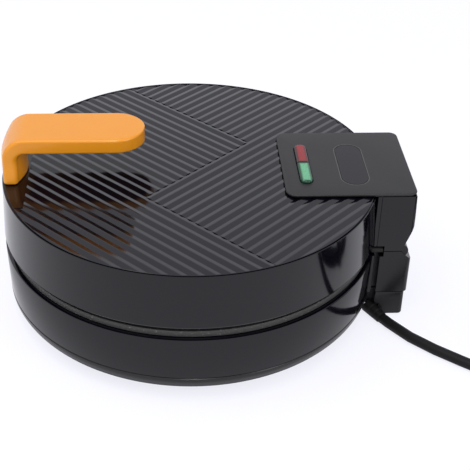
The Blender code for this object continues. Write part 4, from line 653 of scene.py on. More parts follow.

# %% [markdown]
# The two lenses are clear coloured plastic, and their colour is painted light: a painted glow in the middle,
# where the lamp below would shine up through them, and painted shade along their rounded edges. The metal
# parts and the rubber are mostly hidden, but each still gets the finish that its making leaves: drawn lines
# on steel, blue-brown bake on the heater, spangle on the aluminium pan.

# %% Lenses, lamps and small parts
def lens_plastic(name, deep, bright, middle):
    """Clear coloured plastic with painted light: painted shade at its edges and a painted glow, as from the
    lamp below, in its middle.
    """
    finish = Finish(name, IOR=1.45)
    place = finish.split()
    side = LENS_WIDTH / 2 - (place["Y"] / MM - (LENS_MIDDLE + SHIFT_Y / MM)).size()
    end = LENS_HALF / 2 - (place["X"] / MM - middle).size()
    # Painted light: a glow that grows with the distance from the lens's edge, and painted shade near the
    # edge.
    painted_glow = side.least(end).ramp(0.7, 2.3)
    specks = finish.cells(0.9).ramp(0.1, 0.6)
    return finish.dressed(painted_glow * (0.7 + specks * 0.3), deep, bright, 0.10 + specks * 0.10, specks, 0.05, 0.3)


def brushed_steel():
    finish = Finish("steel", Metallic=1.0)
    lines = finish.noise(1.0, 3, 0.6, finish.stretched(1, 1, 14))
    return finish.dressed(lines, (0.44, 0.43, 0.41), (0.66, 0.65, 0.63),
                          0.24 + lines * 0.16, lines, 0.01, 0.4)


def element_steel():
    finish = Finish("element_steel", Metallic=1.0)
    bake, fine = finish.noise(16, 3, 0.6).ramp(0.35, 0.7), finish.noise(0.8, 2, 0.6)
    return finish.dressed(bake, (0.36, 0.33, 0.29), (0.17, 0.13, 0.11), 0.38 + fine * 0.2, fine, 0.02, 0.4)


def plain_aluminium():
    finish = Finish("aluminium", Metallic=1.0)
    spangle = finish.cells(3.2).ramp(0.1, 0.9)
    return finish.dressed(spangle, (0.55, 0.55, 0.55), (0.74, 0.74, 0.73),
                          0.32 + finish.noise(4, 3, 0.6) * 0.2, finish.noise(2, 2, 0.5), 0.02, 0.3)


def lamp_glass():
    finish = Finish("lamp_glass", IOR=1.5, Coat_Weight=0.8)
    cloud = finish.noise(1.6, 2, 0.6)
    return finish.dressed(cloud, (0.62, 0.58, 0.50), (0.80, 0.77, 0.70), 0.08 + cloud * 0.08)


def ceramic():
    finish = Finish("ceramic")
    cloud, fine = finish.noise(3, 3, 0.6), finish.noise(0.4, 2, 0.5)
    return finish.dressed(cloud, (0.62, 0.58, 0.50), (0.78, 0.75, 0.68), 0.45 + cloud * 0.2, fine, 0.03)


def rubber(name, dark, light, roughness, grain_size):
    finish = Finish(name, IOR=1.32)
    cloud, fine = finish.noise(12, 3, 0.6), finish.noise(grain_size, 2, 0.6)
    return finish.dressed(cloud, dark, light, roughness + fine * 0.14, fine, 0.03)


LAMP_PLACES = [LENS_X - LENS_HALF / 2, LENS_X + LENS_HALF / 2]
# The dark colours are painted shade for the lens edges, the bright ones a painted glow for the middle.
RED_LENS = lens_plastic("red_lens", (0.020, 0.000, 0.000), (0.27, 0.002, 0.003), LAMP_PLACES[0])
GREEN_LENS = lens_plastic("green_lens", (0.001, 0.035, 0.016), (0.13, 0.43, 0.23), LAMP_PLACES[1])
STEEL, ELEMENT_STEEL, ALUMINIUM = brushed_steel(), element_steel(), plain_aluminium()
LAMP_GLASS, CERAMIC = lamp_glass(), ceramic()
RUBBER = rubber("black_rubber", (0.010, 0.010, 0.010), (0.018, 0.018, 0.018), 0.62, 0.5)
LEAD_BLACK = rubber("lead_black", (0.0012, 0.0012, 0.0014), (0.0026, 0.0026, 0.0028), 0.50, 0.35)
SLEEVE_GREY = rubber("sleeve_grey", (0.010, 0.010, 0.010), (0.020, 0.020, 0.020), 0.55, 0.3)
print("finishes", len(bpy.data.materials))

# %% [markdown]
# The lid is a shallow drum, open below, with a hairline groove round its top where the top would be
# let into the wall. It carries low ribs like the teeth of a saw: each rises gently over 57 per
# cent of its pitch and falls over the rest, and each face mirrors another part of the room, which
# is why one sees light and dark stripes. The ribs run one way in front and the other way behind a
# zigzag line. They are cut by two toothed blocks, each kept to its own side of the line and
# inside a smooth ring at the rim.

# %% Lid
LID_TOP, LID_EDGE_Z, LID_TOP_RADIUS = 85.1, 52.5, 110.0
BASE_TOP, SEAM, SEAM_RADIUS = 44.8, 17.6, 111.0
WALL, LEDGE_INNER = 2.6, 98.5
HAIRLINE_INNER, HAIRLINE_OUTER, HAIRLINE_DEPTH = 1.15, 0.28, 1.1
PITCH, RIB_DEPTH, RISE, RIB_RING = 6.25, 0.46, 0.57, 108.4
ZIGZAG_FAR, ZIGZAG_MIDDLE, RUNS = 45.3, 4.2, 14
PAD_HALF, PAD_EDGE = 43.0, -94.5
STRAP_SCREW_X, STRAP_SCREW_Y, SCREW_HOLE, LAMP_HOLE = (-9, 9), -101.3, 2.3, 2.6


def zigzag(shift):
    along, across = Vector((1, 1)).normalized(), Vector((-1, 1)).normalized()
    first = across * ZIGZAG_FAR + along * ZIGZAG_MIDDLE
    second = across * (ZIGZAG_FAR - RUNS * PITCH) + along * ZIGZAG_MIDDLE
    reach = 2 * LID_TOP_RADIUS
    line = [first - along * reach, first, second, second + along * reach]
    return [p - Vector((0, shift)) for p in line]


def rib_area(side):
    line = zigzag(0.05 if side > 0 else 0)
    far = 3 * LID_TOP_RADIUS
    outline = [tuple(p) for p in line] + [(line[3].x, side * far), (line[0].x, side * far)]
    return prism("rib_area", outline, LID_TOP - 4, LID_TOP + 4)


def rib_teeth(away, valley):
    base, crest, over = LID_TOP - RIB_DEPTH, LID_TOP + 0.04, LID_TOP + 2
    count = math.ceil(LID_TOP_RADIUS / PITCH) + 1
    start = valley - math.floor(valley / PITCH) * PITCH
    outline = []
    for index in range(-count, count):
        low = start + index * PITCH
        outline += [(low, base), (low + RISE * PITCH, crest)]
    last = start + count * PITCH
    outline += [(last, base), (last, over), (start - count * PITCH, over)]
    up = Vector((0, 0, 1))
    turn = Matrix((away, up, away.cross(up))).transposed().to_4x4()
    return prism("rib_teeth", outline, -LID_TOP_RADIUS, LID_TOP_RADIUS, turn)


def rib_cutter(side, away, valley):
    high, low = LID_TOP + 4, LID_TOP - 4
    disc = turned("rib_disc", [(0, high), (RIB_RING, high), (RIB_RING, low), (0, low)])
    pad = box("rib_pad", (-PAD_HALF, -220, LID_TOP - 8), (PAD_HALF, PAD_EDGE, LID_TOP + 8))
    return cut(inside(rib_teeth(away, valley), rib_area(side), disc), pad)


def upright_holes(places, y, radius, low, high):
    return [rod("hole", (x, y, low), (x, y, high), radius) for x in places]


def make_lid():
    top, edge = LID_TOP, LID_EDGE_Z
    inner, outer = LID_TOP_RADIUS - HAIRLINE_INNER, LID_TOP_RADIUS - HAIRLINE_OUTER
    low = top - HAIRLINE_DEPTH
    profile = [(0, top), (inner - 0.25, top), (inner - 0.08, top - 0.06), (inner, top - 0.25)]
    profile += [(inner, low), (outer, low), (outer, top - 0.28)]
    profile += [(outer + 0.06, top - 0.14), (outer + 0.18, top - 0.14), (outer + 0.29, top - 0.4)]
    profile += [(RIM, edge + 0.6), (RIM - 0.18, edge + 0.18), (RIM - 0.6, edge), (LEDGE_INNER, edge)]
    profile += [(LEDGE_INNER, edge + 3), (RIM - WALL, edge + 3)]
    profile += [(LID_TOP_RADIUS - WALL, top - 3), (0, top - 3)]
    holes = upright_holes(LAMP_PLACES, LENS_MIDDLE, LAMP_HOLE, top - 7, top + 4)
    holes += upright_holes(STRAP_SCREW_X, STRAP_SCREW_Y, SCREW_HOLE, top - 7, top + 4)
    half = math.sqrt(0.5)
    front = rib_cutter(-1, Vector((-half, half, 0)), ZIGZAG_FAR)
    rear = rib_cutter(1, Vector((-half, -half, 0)), -ZIGZAG_MIDDLE)
    return cut(cut(cut(turned("lid_drum", profile), together(holes)), rear), front)


lid = finished(make_lid(), "lid", GLOSS_BLACK, "lid_shell", sharp=5)
print("lid faces", len(lid.data.polygons))

# %% [markdown]
# The base wall is a ring that tapers a little towards the seam with the bottom cover. At the
# back it has a flat that faces the hinge housing, and its top edge turns in to carry the plate.
# Inside stand four posts for the screws of the cover.

# %% Base wall
BLOCK_HALF = 36.5
SCREW_RING, SCREW_TURNS = 95.5, (30, 150, 230, 310)


def at_screws(name, low, high, radius):
    """Four upright rods, one on the line of each screw of the cover."""
    ends = [(polar(SCREW_RING, a, low), polar(SCREW_RING, a, high)) for a in SCREW_TURNS]
    return together([rod(name, start, end, radius) for start, end in ends])


def make_base_wall():
    low, top = SEAM, BASE_TOP
    profile = [(RIM - 0.6, top), (RIM - 0.18, top - 0.18), (RIM, top - 0.6)]
    profile += [(SEAM_RADIUS, low + 0.4), (SEAM_RADIUS - 0.4, low), (SEAM_RADIUS - WALL, low)]
    profile += [(RIM - WALL, top - 3), (LEDGE_INNER, top - 3), (LEDGE_INNER, top)]
    wall = turned("base_wall", profile, closed=True)
    outline = rounded_rectangle(-BLOCK_HALF, BLOCK_HALF, LEDGE_INNER, 107, 1.2, 1.2, 6)
    flat = prism("hinge_flat", outline, low, top - 0.6)
    wall = fused(wall, flat, at_screws("post", low, top - 1.5, 4.5))
    return cut(wall, at_screws("post_hole", low - 4, 24.3, 1.8))


base_wall = finished(make_base_wall(), "base", GLOSS_BLACK, "base_shell")
print("base wall faces", len(base_wall.data.polygons))

# %% [markdown]
# The bottom cover is a shallow dish whose edge rounds in under the body. It runs on at the back as
# the foot of the hinge block, and its floor has slots for air, wells for four screws and a
# recess where the lead's strain relief lies.

# %% Bottom cover
COVER_TOP, COVER_INSIDE, COVER_OUTSIDE = SEAM - 0.3, 6.7, 4.5
FOOT_HALF_WIDTH, FOOT_FRONT, FOOT_REAR = 35.95, 109.8, 127.8
VENTS, VENT_RING = 8, 58


def dish_profile():
    top = COVER_TOP
    curve = arc((98.5, top + 0.9), 12.9, -10, -80, 12)
    outer = [(SEAM_RADIUS - 0.4, top), (SEAM_RADIUS, top - 0.4)]
    outer += [(min(SEAM_RADIUS, r), z) for r, z in curve if z < top - 0.6]
    inner = [(0, COVER_INSIDE), (96, COVER_INSIDE), (103.8, 9.1), (107.1, 12.6), (SEAM_RADIUS - WALL, top)]
    return inner + outer + [(98, COVER_OUTSIDE), (0, COVER_OUTSIDE)]


def air_slot(turn):
    slot = prism("vent", obround(0, 0, 13, 3, 12), 0.5, 10.7)
    place = Matrix.Translation(polar(VENT_RING, turn) * MM) @ Matrix.Rotation(math.radians(turn + 90), 4, "Z")
    slot.data.transform(place)
    return slot


def make_bottom_cover():
    top, half, front, rear = COVER_TOP, FOOT_HALF_WIDTH, FOOT_FRONT, FOOT_REAR
    dish = turned("bottom_dish", dish_profile())
    block = prism("cover_block", rounded_rectangle(-half, half, front, rear, 0.7, 2.8), 0.4, top - 0.3)
    block = rounded(block, 0.5, 2)
    neck = box("cover_neck", (-31, 92.8, 5.6), (31, front + 2, top - 0.6))
    dish = fused(dish, block, neck, at_screws("boss", 5.6, top, 6))
    hollow = box("hollow", (-half + 3, front + 3, 3.4), (half - 3, rear - 3, top + 4))
    wells, holes = at_screws("well", -4, 8.3, 3.5), at_screws("screw_hole", 0, top + 4, 1.8)
    vents = together([air_slot(360 / VENTS * (index + 0.5)) for index in range(VENTS)])
    along = relief_direction()
    start, end = RELIEF_START - along * GAP, RELIEF_START + along * RELIEF_LENGTH
    pocket = rod("pocket", start / MM, end / MM, 5.4)
    return cut(dish, hollow, wells, holes, vents, pocket)


cover = finished(make_bottom_cover(), "base", SATIN_BLACK, "bottom_cover")
print("cover faces", len(cover.data.polygons))

# %% [markdown]
# Each plate is a thin disc with twelve half balls sunk in it, three inside a ring of nine, and
# the back of each cup stands out behind as a dome. The two plates are almost the same, mirrored
# about the height where they part, so one function makes both. The upper one is a little smaller:
# the camera sees the shadow above the lower rim as a dark line.

# %% Cooking plates
PARTING, PLATE_GAP, PLATE_THICK = 48.95, 0.15, 3
CUP_RADIUS, DOME_RADIUS = 20, 22.8
CUPS = [polar(27, 90 + 120 * i) for i in range(3)] + [polar(74, 10 + 40 * i) for i in range(9)]
ELEMENT_RING = 50.5


def balls(name, radius, segments, flat=None):
    """A ball at each cup, kept on one side of a height if that is given."""
    bm = bmesh.new()
    for place in CUPS:
        where = Matrix.Translation((place + Vector((0, 0, PARTING))) * MM)
        bmesh.ops.create_uvsphere(bm, u_segments=segments, v_segments=segments // 2, radius=radius * MM,
                                  matrix=where)
    if flat:
        height, side = flat
        everything = bm.verts[:] + bm.edges[:] + bm.faces[:]
        bmesh.ops.bisect_plane(bm, geom=everything, plane_co=(0, 0, height * MM), plane_no=(0, 0, -side),
                               clear_outer=True)
        bmesh.ops.holes_fill(bm, edges=[e for e in bm.edges if e.is_boundary])
    return from_bmesh(name, bm)


def make_plate(name, radius, side, rim_back):
    land = PARTING + side * PLATE_GAP
    back = land + side * PLATE_THICK
    edge, seat = side * 0.25, LEDGE_INNER - 0.3
    profile = [(0, land), (radius - 0.25, land), (radius, land + edge), (radius, rim_back - edge)]
    profile += [(radius - 0.25, rim_back), (seat, rim_back), (seat, back), (0, back)]
    domes = balls("domes", DOME_RADIUS, 32, (land + side, side))
    bosses = [rod("boss", polar(ELEMENT_RING, 30 + 120 * i, land + side),
                  polar(ELEMENT_RING, 30 + 120 * i, land + side * 14.2), 4) for i in range(3)]
    plate = fused(turned(name, profile), domes, together(bosses))
    return cut(plate, balls("cups", CUP_RADIUS, 48))


for half, radius, side, rim_back, body in (("lower", 109, -1, 45.1, "base"),
                                           ("upper", 106.8, 1, 52.2, "lid")):
    plate = make_plate(half + "_cooking_plate", radius, side, rim_back)
    finished(plate, body, NON_STICK, half + "_plate")
    print(half, "plate faces", len(plate.data.polygons))

# %% [markdown]
# Behind each plate lies a ring of steel tube with a heating wire in it, and a thin aluminium pan
# that throws the heat back. They are closed in, but the air slots let one see a little of them.
# The thermostat and the thermal fuse lie against the lower plate, and the lead ends in a bar of
# ceramic.

# %% Heating elements, reflectors and controls
ELEMENT_END, ELEMENT_TURN, ELEMENT_BEND, ELEMENT_RADIUS = 84, 110, 8, 3.3
PAN_NEAR, PAN_INNER, PAN_OUTER, PAN_DEEP, PAN_THICK = 23.1, 88.1, 89, 3.5, 0.9


def element_line(height):
    bend_ring = ELEMENT_RING + ELEMENT_BEND
    swing = math.degrees(math.asin(ELEMENT_BEND / bend_ring))
    left = ELEMENT_TURN
    bend = arc(polar(bend_ring, left + swing), ELEMENT_BEND, left - 90, left + swing - 180, 16)
    tail = polar(ELEMENT_END, left)
    ring = arc((0, 0), ELEMENT_RING, left + swing, 270, 60)
    half = [(tail.x, tail.y)] + bend + ring[1:]
    return [Vector((x, y, height)) * MM for x, y in half + [(-x, y) for x, y in reversed(half[:-1])]]


def make_heating(side, body, prefix):
    line = shifted(element_line(PARTING + side * PLATE_GAP + side * 17.8))
    element = tube(prefix + "_element_tube", line, ELEMENT_RADIUS * MM, 6)
    finished(element, body, ELEMENT_STEEL, prefix + "_heating_element", slot="steel")
    near = PARTING + side * PAN_NEAR
    lip, back = near - side * PAN_DEEP, near + side * PAN_THICK
    profile = [(0, near), (PAN_INNER, near), (PAN_INNER, lip), (PAN_OUTER, lip), (PAN_OUTER, back), (0, back)]
    finished(turned(prefix + "_reflector_pan", profile), body, ALUMINIUM, prefix + "_reflector")


def make_controls():
    back = PARTING - 0.15 - 3 - 0.3
    profile = [(0, back), (4.5, back), (4.5, back - 2), (6.2, back - 2), (6.5, back - 2.3), (6.5, back - 8.2)]
    thermostat = turned("thermostat_disc", profile + [(6.2, back - 8.5), (0, back - 8.5)], 64)
    finished(moved(thermostat, polar(89.5, 70) * MM), "base", CERAMIC, "thermostat")
    centre, along = polar(92, 110, back - 2.6), polar(1, 200)
    fuse = rod("fuse_can", centre - along * 6, centre + along * 6, 2.6)
    tips = rod("fuse_tips", centre - along * 8, centre + along * 8, 1.2)
    finished(fused(fuse, tips), "base", STEEL, "thermal_fuse")
    rear, low = BLOCK_REAR - 3 - 0.3, SEAM + 3
    block = rounded(box("terminal_bar", (-15, rear - 8, low), (15, rear, low + 12)), 0.5, 2)
    wells = upright_holes([30 * ((i + 0.5) / 3 - 0.5) for i in range(3)], rear - 4, 2.2, low - 4, low + 5)
    finished(cut(block, together(wells)), "base", CERAMIC, "terminal_block")


make_heating(-1, "base", "lower")
make_heating(1, "lid", "upper")
make_controls()
print("heating and controls made")

# %% [markdown]
# The hinge is a moulded block behind each half. Knuckles of the two blocks stand in turn along one
# steel pin, in a notch shaped like a V that opens as the lid comes up. The blocks start as side
# outlines, are kept to a plan with rounded corners, and then take the knuckles, the bores and the
# room in which the other block's knuckles turn.

# %% Hinge blocks and pin
HINGE_Y, HINGE_Z = 122.3, 47.3
SIDEWAYS = Matrix(((0, 0, 1, 0), (1, 0, 0, 0), (0, 1, 0, 0), (0, 0, 0, 1)))
KNUCKLE, KNUCKLE_ROOM, KNUCKLE_GAP = 4.2, 4.6, 0.3
BASE_KNUCKLES = [(-36.1, -25.5), (-11.5, 11.5), (25.5, 36.1)]
LID_KNUCKLES = [(-25.2, -11.8), (11.8, 25.2)]
PIN_HALF, PIN, BORE_HALF, BORE = 34, 1.8, 34.3, 1.85
PLAN_FRONT_CORNER, PLAN_REAR_CORNER = 0.7, 2.8
HOLLOW_HALF, HOLLOW_FRONT = 33.5, 113.1


def crosswise(name, start, end, radius):
    return rod(name, (start, HINGE_Y, HINGE_Z), (end, HINGE_Y, HINGE_Z), radius)


def knuckles(spans, radius, grow=0):
    return together([crosswise("knuckle", a - grow, b + grow, radius) for a, b in spans])


def planned_block(name, outline, front, rear, front_corner):
    """A side outline, extruded across and kept to a plan with rounded corners."""
    heights = [z for _, z in outline]
    block = prism(name, outline, -BLOCK_HALF, BLOCK_HALF, SIDEWAYS)
    plan = rounded_rectangle(-BLOCK_HALF, BLOCK_HALF, front, rear, front_corner, PLAN_REAR_CORNER)
    return inside(block, prism("plan", plan, min(heights) - 4, max(heights) + 4))


def knuckle_room(spans):
    return knuckles(spans, KNUCKLE_ROOM, KNUCKLE_GAP)


def bore():
    return crosswise("bore", -BORE_HALF, BORE_HALF, BORE)


def make_lower_block():
    low, top = SEAM + 0.15, HINGE_Z - 0.25
    outline = [(109.5, low), (BLOCK_REAR, low), (BLOCK_REAR, 40.9), (HINGE_Y, top), (112, top), (112, 43.6),
               (109.5, 43.6)]
    block = planned_block("lower_block", outline, 109.5, BLOCK_REAR, PLAN_FRONT_CORNER)
    neck = box("neck", (-31, 107.3, low + 0.2), (31, 111, 43.3))
    block = fused(block, neck, knuckles(BASE_KNUCKLES, KNUCKLE))
    wall = turned("wall_room", [(0, 48.8), (RIM + 0.3, 48.8), (RIM + 0.3, low - 4), (0, low - 4)])
    hollow = box("hollow", (-HOLLOW_HALF, HOLLOW_FRONT, low - 4), (HOLLOW_HALF, 125.9, 37.9))
    return cut(block, wall, hollow, knuckle_room(LID_KNUCKLES), bore())


def make_upper_block():
    low, top = HINGE_Z + 0.25, LID_TOP
    outline = [(104.8, top), (104.8, 51), (112, 51), (112, low), (HINGE_Y, low), (128.7, 64.8), (127.6, top)]
    block = planned_block("upper_block", outline, 104.8, 128.7, 0.6)
    block = fused(block, knuckles(LID_KNUCKLES, KNUCKLE))
    wall = turned("wall_room", [(0, top + 4), (110.3 - 0.2, top + 4), (RIM + 0.3, LID_EDGE_Z),
                                (RIM + 0.3, 43.6), (0, 43.6)])
    hollow = box("hollow", (-HOLLOW_HALF, HOLLOW_FRONT, 64.8), (HOLLOW_HALF, 124.6, top + 4))
    grooves = [box("groove", (x - 0.8, 107.1, 47), (x + 0.8, 107.7, top + 4))
               for x in (-BLOCK_HALF, BLOCK_HALF)]
    return cut(block, wall, hollow, together(grooves), knuckle_room(BASE_KNUCKLES), bore())


finished(make_lower_block(), "base", SATIN_BLACK, "lower_hinge_housing")
finished(make_upper_block(), "lid", GLOSS_BLACK, "upper_hinge_housing")
pin = rounded(crosswise("pin_rod", -PIN_HALF, PIN_HALF, PIN), 0.3, 2)
finished(pin, "base", STEEL, "hinge_pin")
for side, x in (("left", -34.2), ("right", 34.2)):
    sleeve = rounded(rod(side + "_sleeve_tube", (x, 104.5, HINGE_Z), (x, 111.7, HINGE_Z), 1.8), 0.3, 2)
    finished(sleeve, "base", SLEEVE_GREY, side + "_lead_sleeve")
print("hinge made")

# %% [markdown]
# A matt panel covers the back of the lid. It carries one long lens in two colours, a red half on
# the far side and a green half on the near side, and a field inside a narrow groove, which is
# left bare. The panel's finish knows where that field lies, so that it is smoother there.

# %% Panel, lenses and lamps
PANEL_LOW, PANEL_TOP = LID_TOP + 0.1, LID_TOP + 1.9
PANEL_ROUND, LENS_ROUND, LENS_RISE = 0.8, 1.5, 1.8
GROOVE_DEEP, GROOVE_WIDE, LENS_GAP = 0.3, 0.45, 0.35


def make_panel():
    outline = rounded_rectangle(-BLOCK_HALF, BLOCK_HALF, 52.6, 128.1, 6, 5)
    panel = rounded(prism("back_panel", outline, PANEL_LOW, PANEL_TOP), PANEL_ROUND, 5)
    slot = prism("slot", obround(LENS_X, LENS_MIDDLE, LENS_HALF + 0.3, 8.1), PANEL_LOW - 4, PANEL_TOP + 4)
    outer = obround(LENS_X, FIELD_MIDDLE, FIELD_HALF, FIELD_WIDTH)
    inner = obround(LENS_X, FIELD_MIDDLE, FIELD_HALF - GROOVE_WIDE, FIELD_WIDTH - 2 * GROOVE_WIDE)
    groove = prism("groove", outer, PANEL_TOP - GROOVE_DEEP, PANEL_TOP + 4)
    island = prism("island", inner, PANEL_TOP - 4, PANEL_TOP + 8)
    return cut(panel, slot, cut(groove, island))


def make_lens(name, side):
    top = PANEL_TOP + LENS_RISE
    lens = prism(name, obround(LENS_X, LENS_MIDDLE, LENS_HALF, LENS_WIDTH), PANEL_LOW, top)
    low, high = sorted((LENS_X + side * LENS_GAP, LENS_X + side * 46))
    return inside(rounded(lens, LENS_ROUND, 8), box("half", (low, 58, PANEL_LOW - 4), (high, 74, top + 4)))


def make_lamp(name, x):
    dome = [(0, 85.1), (0.6, 85.0), (1.15, 84.7)] + arc((0, 82.8), 2.3, 52, 6, 5)
    profile = dome + [(2.3, 74.6), (0, 74.6)]
    return moved(turned(name, profile, 48), (x * MM, LENS_MIDDLE * MM, 0))


finished(make_panel(), "lid", MATT_BLACK, "hinge_panel")
for colour, finish, side in (("red", RED_LENS, -1), ("green", GREEN_LENS, 1)):
    finished(make_lens(colour + "_half", side), "lid", finish, colour + "_lens")
for colour, x in zip(("red", "green"), LAMP_PLACES):
    finished(make_lamp(colour + "_lamp_bulb", x), "lid", LAMP_GLASS, colour + "_lamp")
print("panel, lenses and lamps made")

# %% [markdown]
# The handle is one bent strap of orange plastic. It stands at the rim, turns a tight corner and
# reaches back over the lid to a round end. No modifier makes such a form, so it is a loft: a
# rounded section is set at many stations along the strap, and the sections are joined in rings.

# %% Handle
GRIP_TOP, GRIP_THICK, LEG_THICK = 112.4, 8.8, 8.5
GRIP_HALF, FOOT_HALF, OUTER_BEND = 17.0, 19.4, 13.5
OUTER_Y, TIP_Y = -107.8, -27.2
EDGE_ROUND, LEG_ROUND = 1.5, 2.6
OUTER_BULGE, INNER_BULGE = 1.7, 4.0
FOOT_ROUND = ((0, 0.7), (0.2, 0.3), (0.6, 0.05))
LEG_STEPS, BEND_STEPS, TIP_STEPS = 9, 18, 29


def strap_section(half, thick, outer_bulge, inner_bulge, corner):
    flat = half - corner
    shares = [-1 + 2 * i / 16 for i in range(17)]
    outer = [(s * flat, outer_bulge * (1 - s * s)) for s in shares]
    inner = [(-s * flat, -thick - inner_bulge * (1 - s * s)) for s in shares]
    right_top = arc((flat, -corner), corner, 78, 0, 7)
    right_low = arc((flat, corner - thick), corner, 0, -78, 7)
    mirrored = [[(-x, y) for x, y in reversed(part)] for part in (right_low, right_top)]
    return outer + right_top + right_low + inner + mirrored[0] + mirrored[1]


def strap_stations():
    """Place, outward direction, half width, thickness, bulge and corner at each station."""
    foot, bend_z, bend_y = LID_TOP + 0.3, GRIP_TOP - OUTER_BEND, OUTER_Y + OUTER_BEND
    stations = []
    for rise, inset in FOOT_ROUND:
        place = (OUTER_Y + inset, foot + rise)
        stations.append((place, (-1, 0), FOOT_HALF - inset, LEG_THICK - 2 * inset, 1.0, LEG_ROUND - inset))
    for i in range(1, LEG_STEPS):
        share = i / LEG_STEPS
        ease = share * share * (3 - 2 * share)
        width = FOOT_HALF + ease * (GRIP_HALF - FOOT_HALF)
        place = (OUTER_Y, foot + share * (bend_z - foot))
        stations.append((place, (-1, 0), width, LEG_THICK, 1.0, LEG_ROUND))
    for i in range(BEND_STEPS):
        share = i / (BEND_STEPS - 1)
        turn = share * math.pi / 2
        out = (-math.cos(turn), math.sin(turn))
        place = (bend_y + out[0] * OUTER_BEND, bend_z + out[1] * OUTER_BEND)
        thick = LEG_THICK + share * (GRIP_THICK - LEG_THICK)
        corner = LEG_ROUND + share * (EDGE_ROUND - LEG_ROUND)
        stations.append((place, out, GRIP_HALF, thick, max(0.0, 1 - 1.6 * share), corner))
    end_y = TIP_Y - GRIP_HALF
    for i in range(1, TIP_STEPS + 1):
        turn = math.radians(89) * i / TIP_STEPS
        place = (end_y + GRIP_HALF * math.sin(turn), GRIP_TOP)
        width = GRIP_HALF * math.cos(turn)
        stations.append((place, (0, 1), width, GRIP_THICK, 0.0, min(EDGE_ROUND, width * 0.7)))
    return stations


def make_handle():
    bm = bmesh.new()
    rings = []
    for (y, z), (out_y, out_z), half, thick, bulge, corner in strap_stations():
        section = strap_section(half, thick, bulge * OUTER_BULGE, bulge * INNER_BULGE, corner)
        rings.append([bm.verts.new(Vector((x, y + out * out_y, z + out * out_z)) * MM) for x, out in section])
    for ring, following in zip(rings, rings[1:]):
        for i in range(len(ring)):
            j = (i + 1) % len(ring)
            bm.faces.new((ring[i], ring[j], following[j], following[i]))
    bm.faces.new(rings[0])
    bm.faces.new(rings[-1])
    holes = upright_holes(STRAP_SCREW_X, STRAP_SCREW_Y, SCREW_HOLE, LID_TOP - 4, 96.4)
    return cut(from_bmesh("strap", bm), together(holes))


handle = finished(make_handle(), "lid", ORANGE, "handle", sharp=40)
print("handle faces", len(handle.data.polygons))

# %% [markdown]
# Four screws hold the bottom cover and two hold the handle. Each has a domed head with a cross
# recess, cut by two thin bars. The feet are plain rubber discs with a broken edge.

# %% Screws and feet
FEET = {"front_left_foot": (-56, -62), "front_right_foot": (56, -62), "rear_left_foot": (-22, 95),
        "rear_right_foot": (22, 95)}


def screw(name, shoulder, radius, head, height, length, place):
    tip, low = shoulder + length, shoulder - height
    profile = [(0, tip), (radius * 0.5, tip), (radius, tip - radius), (radius, shoulder), (head, shoulder)]
    profile += [(head, shoulder - height * 0.45), (head * 0.8, shoulder - height * 0.85)]
    profile += [(head * 0.4, low), (0, low)]
    arm, wide = head * 0.55, head * 0.11
    bars = [box("bar", (-x, -y, low - 1), (x, y, low + height * 0.6)) for x, y in ((arm, wide), (wide, arm))]
    return moved(cut(turned(name, profile, 48), *bars), place * MM)


for index, turn in enumerate(SCREW_TURNS, 1):
    piece = screw(f"cover_screw_{index}", 8.0, 1.5, 3.2, 2.2, 16, polar(SCREW_RING, turn))
    finished(piece, "base", STEEL, f"bottom_screw_{index}")
for index, x in enumerate(STRAP_SCREW_X, 1):
    piece = screw(f"strap_screw_{index}", LID_TOP - 3.3, 2.0, 4.0, 2.0, 14, Vector((x, STRAP_SCREW_Y, 0)))
    finished(piece, "lid", STEEL, f"handle_screw_{index}")
for name, (x, y) in FEET.items():
    side = [(0, 4.2), (8, 4.2), (8, 0.8)] + arc((7.2, 0.8), 0.8, -15, -90, 5)
    profile = side + [(5.5, 0), (5.2, 0.5), (0, 0.5)]
    foot = moved(turned(name + "_pad", profile, 64), (x * MM, y * MM, 0))
    finished(foot, "base", RUBBER, name)
print("screws", len(SCREW_TURNS) + len(STRAP_SCREW_X), "feet", len(FEET))

# %% [markdown]
# The lead itself is a curve with a round bevel on the centre line from the start of this lesson.
# Its strain relief is a turned, ringed sleeve, the coil is held by a flat strap, and the plug is a
# plain moulded body with two pins, without a word on it.

# %% Lead, strain relief, strap and plug
STRAP_TURN, STRAP_THICK, STRAP_LOW, STRAP_HALF_WIDTH = math.radians(240), 0.9, 0.9, 3
PLUG_SLEEVE = [(0, 24), (5.8, 24), (5.8, 22), (5.3, 21.6), (5.4, 17), (4.9, 16.6), (5.0, 12), (4.5, 11.6),
               (4.6, 7), (4.1, 6.6), (4.0, 0), (0, 0)]
PLUG_OUTLINE = [(0, -9), (9, -9), (18, -17), (36, -17), (36, 17), (18, 17), (9, 9), (0, 9)]
PIN_SPREAD, PIN_REACH, PIN_ROOT, PIN_RADIUS = 9.5, 19, 6, 2.4


def along_line(obj, start, heading):
    """Sets an upright piece on a point of the lead, with its axis along the lead."""
    turn = Vector((0, 0, 1)).rotation_difference(heading).to_matrix().to_4x4()
    obj.data.transform(Matrix.Translation(start) @ turn)
    return obj


def make_relief():
    """A smooth tapered sleeve with two narrow rings."""
    length = RELIEF_LENGTH / MM
    profile = [(0, length), (3.4, length), (3.6, length - 0.2)]
    for height, radius in ((8.7, 3.8), (4.3, 4.0)):
        profile += [(radius, height + 1.2), (radius - 0.25, height + 0.9)]
        profile += [(radius - 0.25, height + 0.6), (radius, height + 0.3)]
    relief = turned("ringed_relief", profile + [(4.25, 0), (0, 0)], 64)
    return along_line(relief, RELIEF_START, relief_direction())


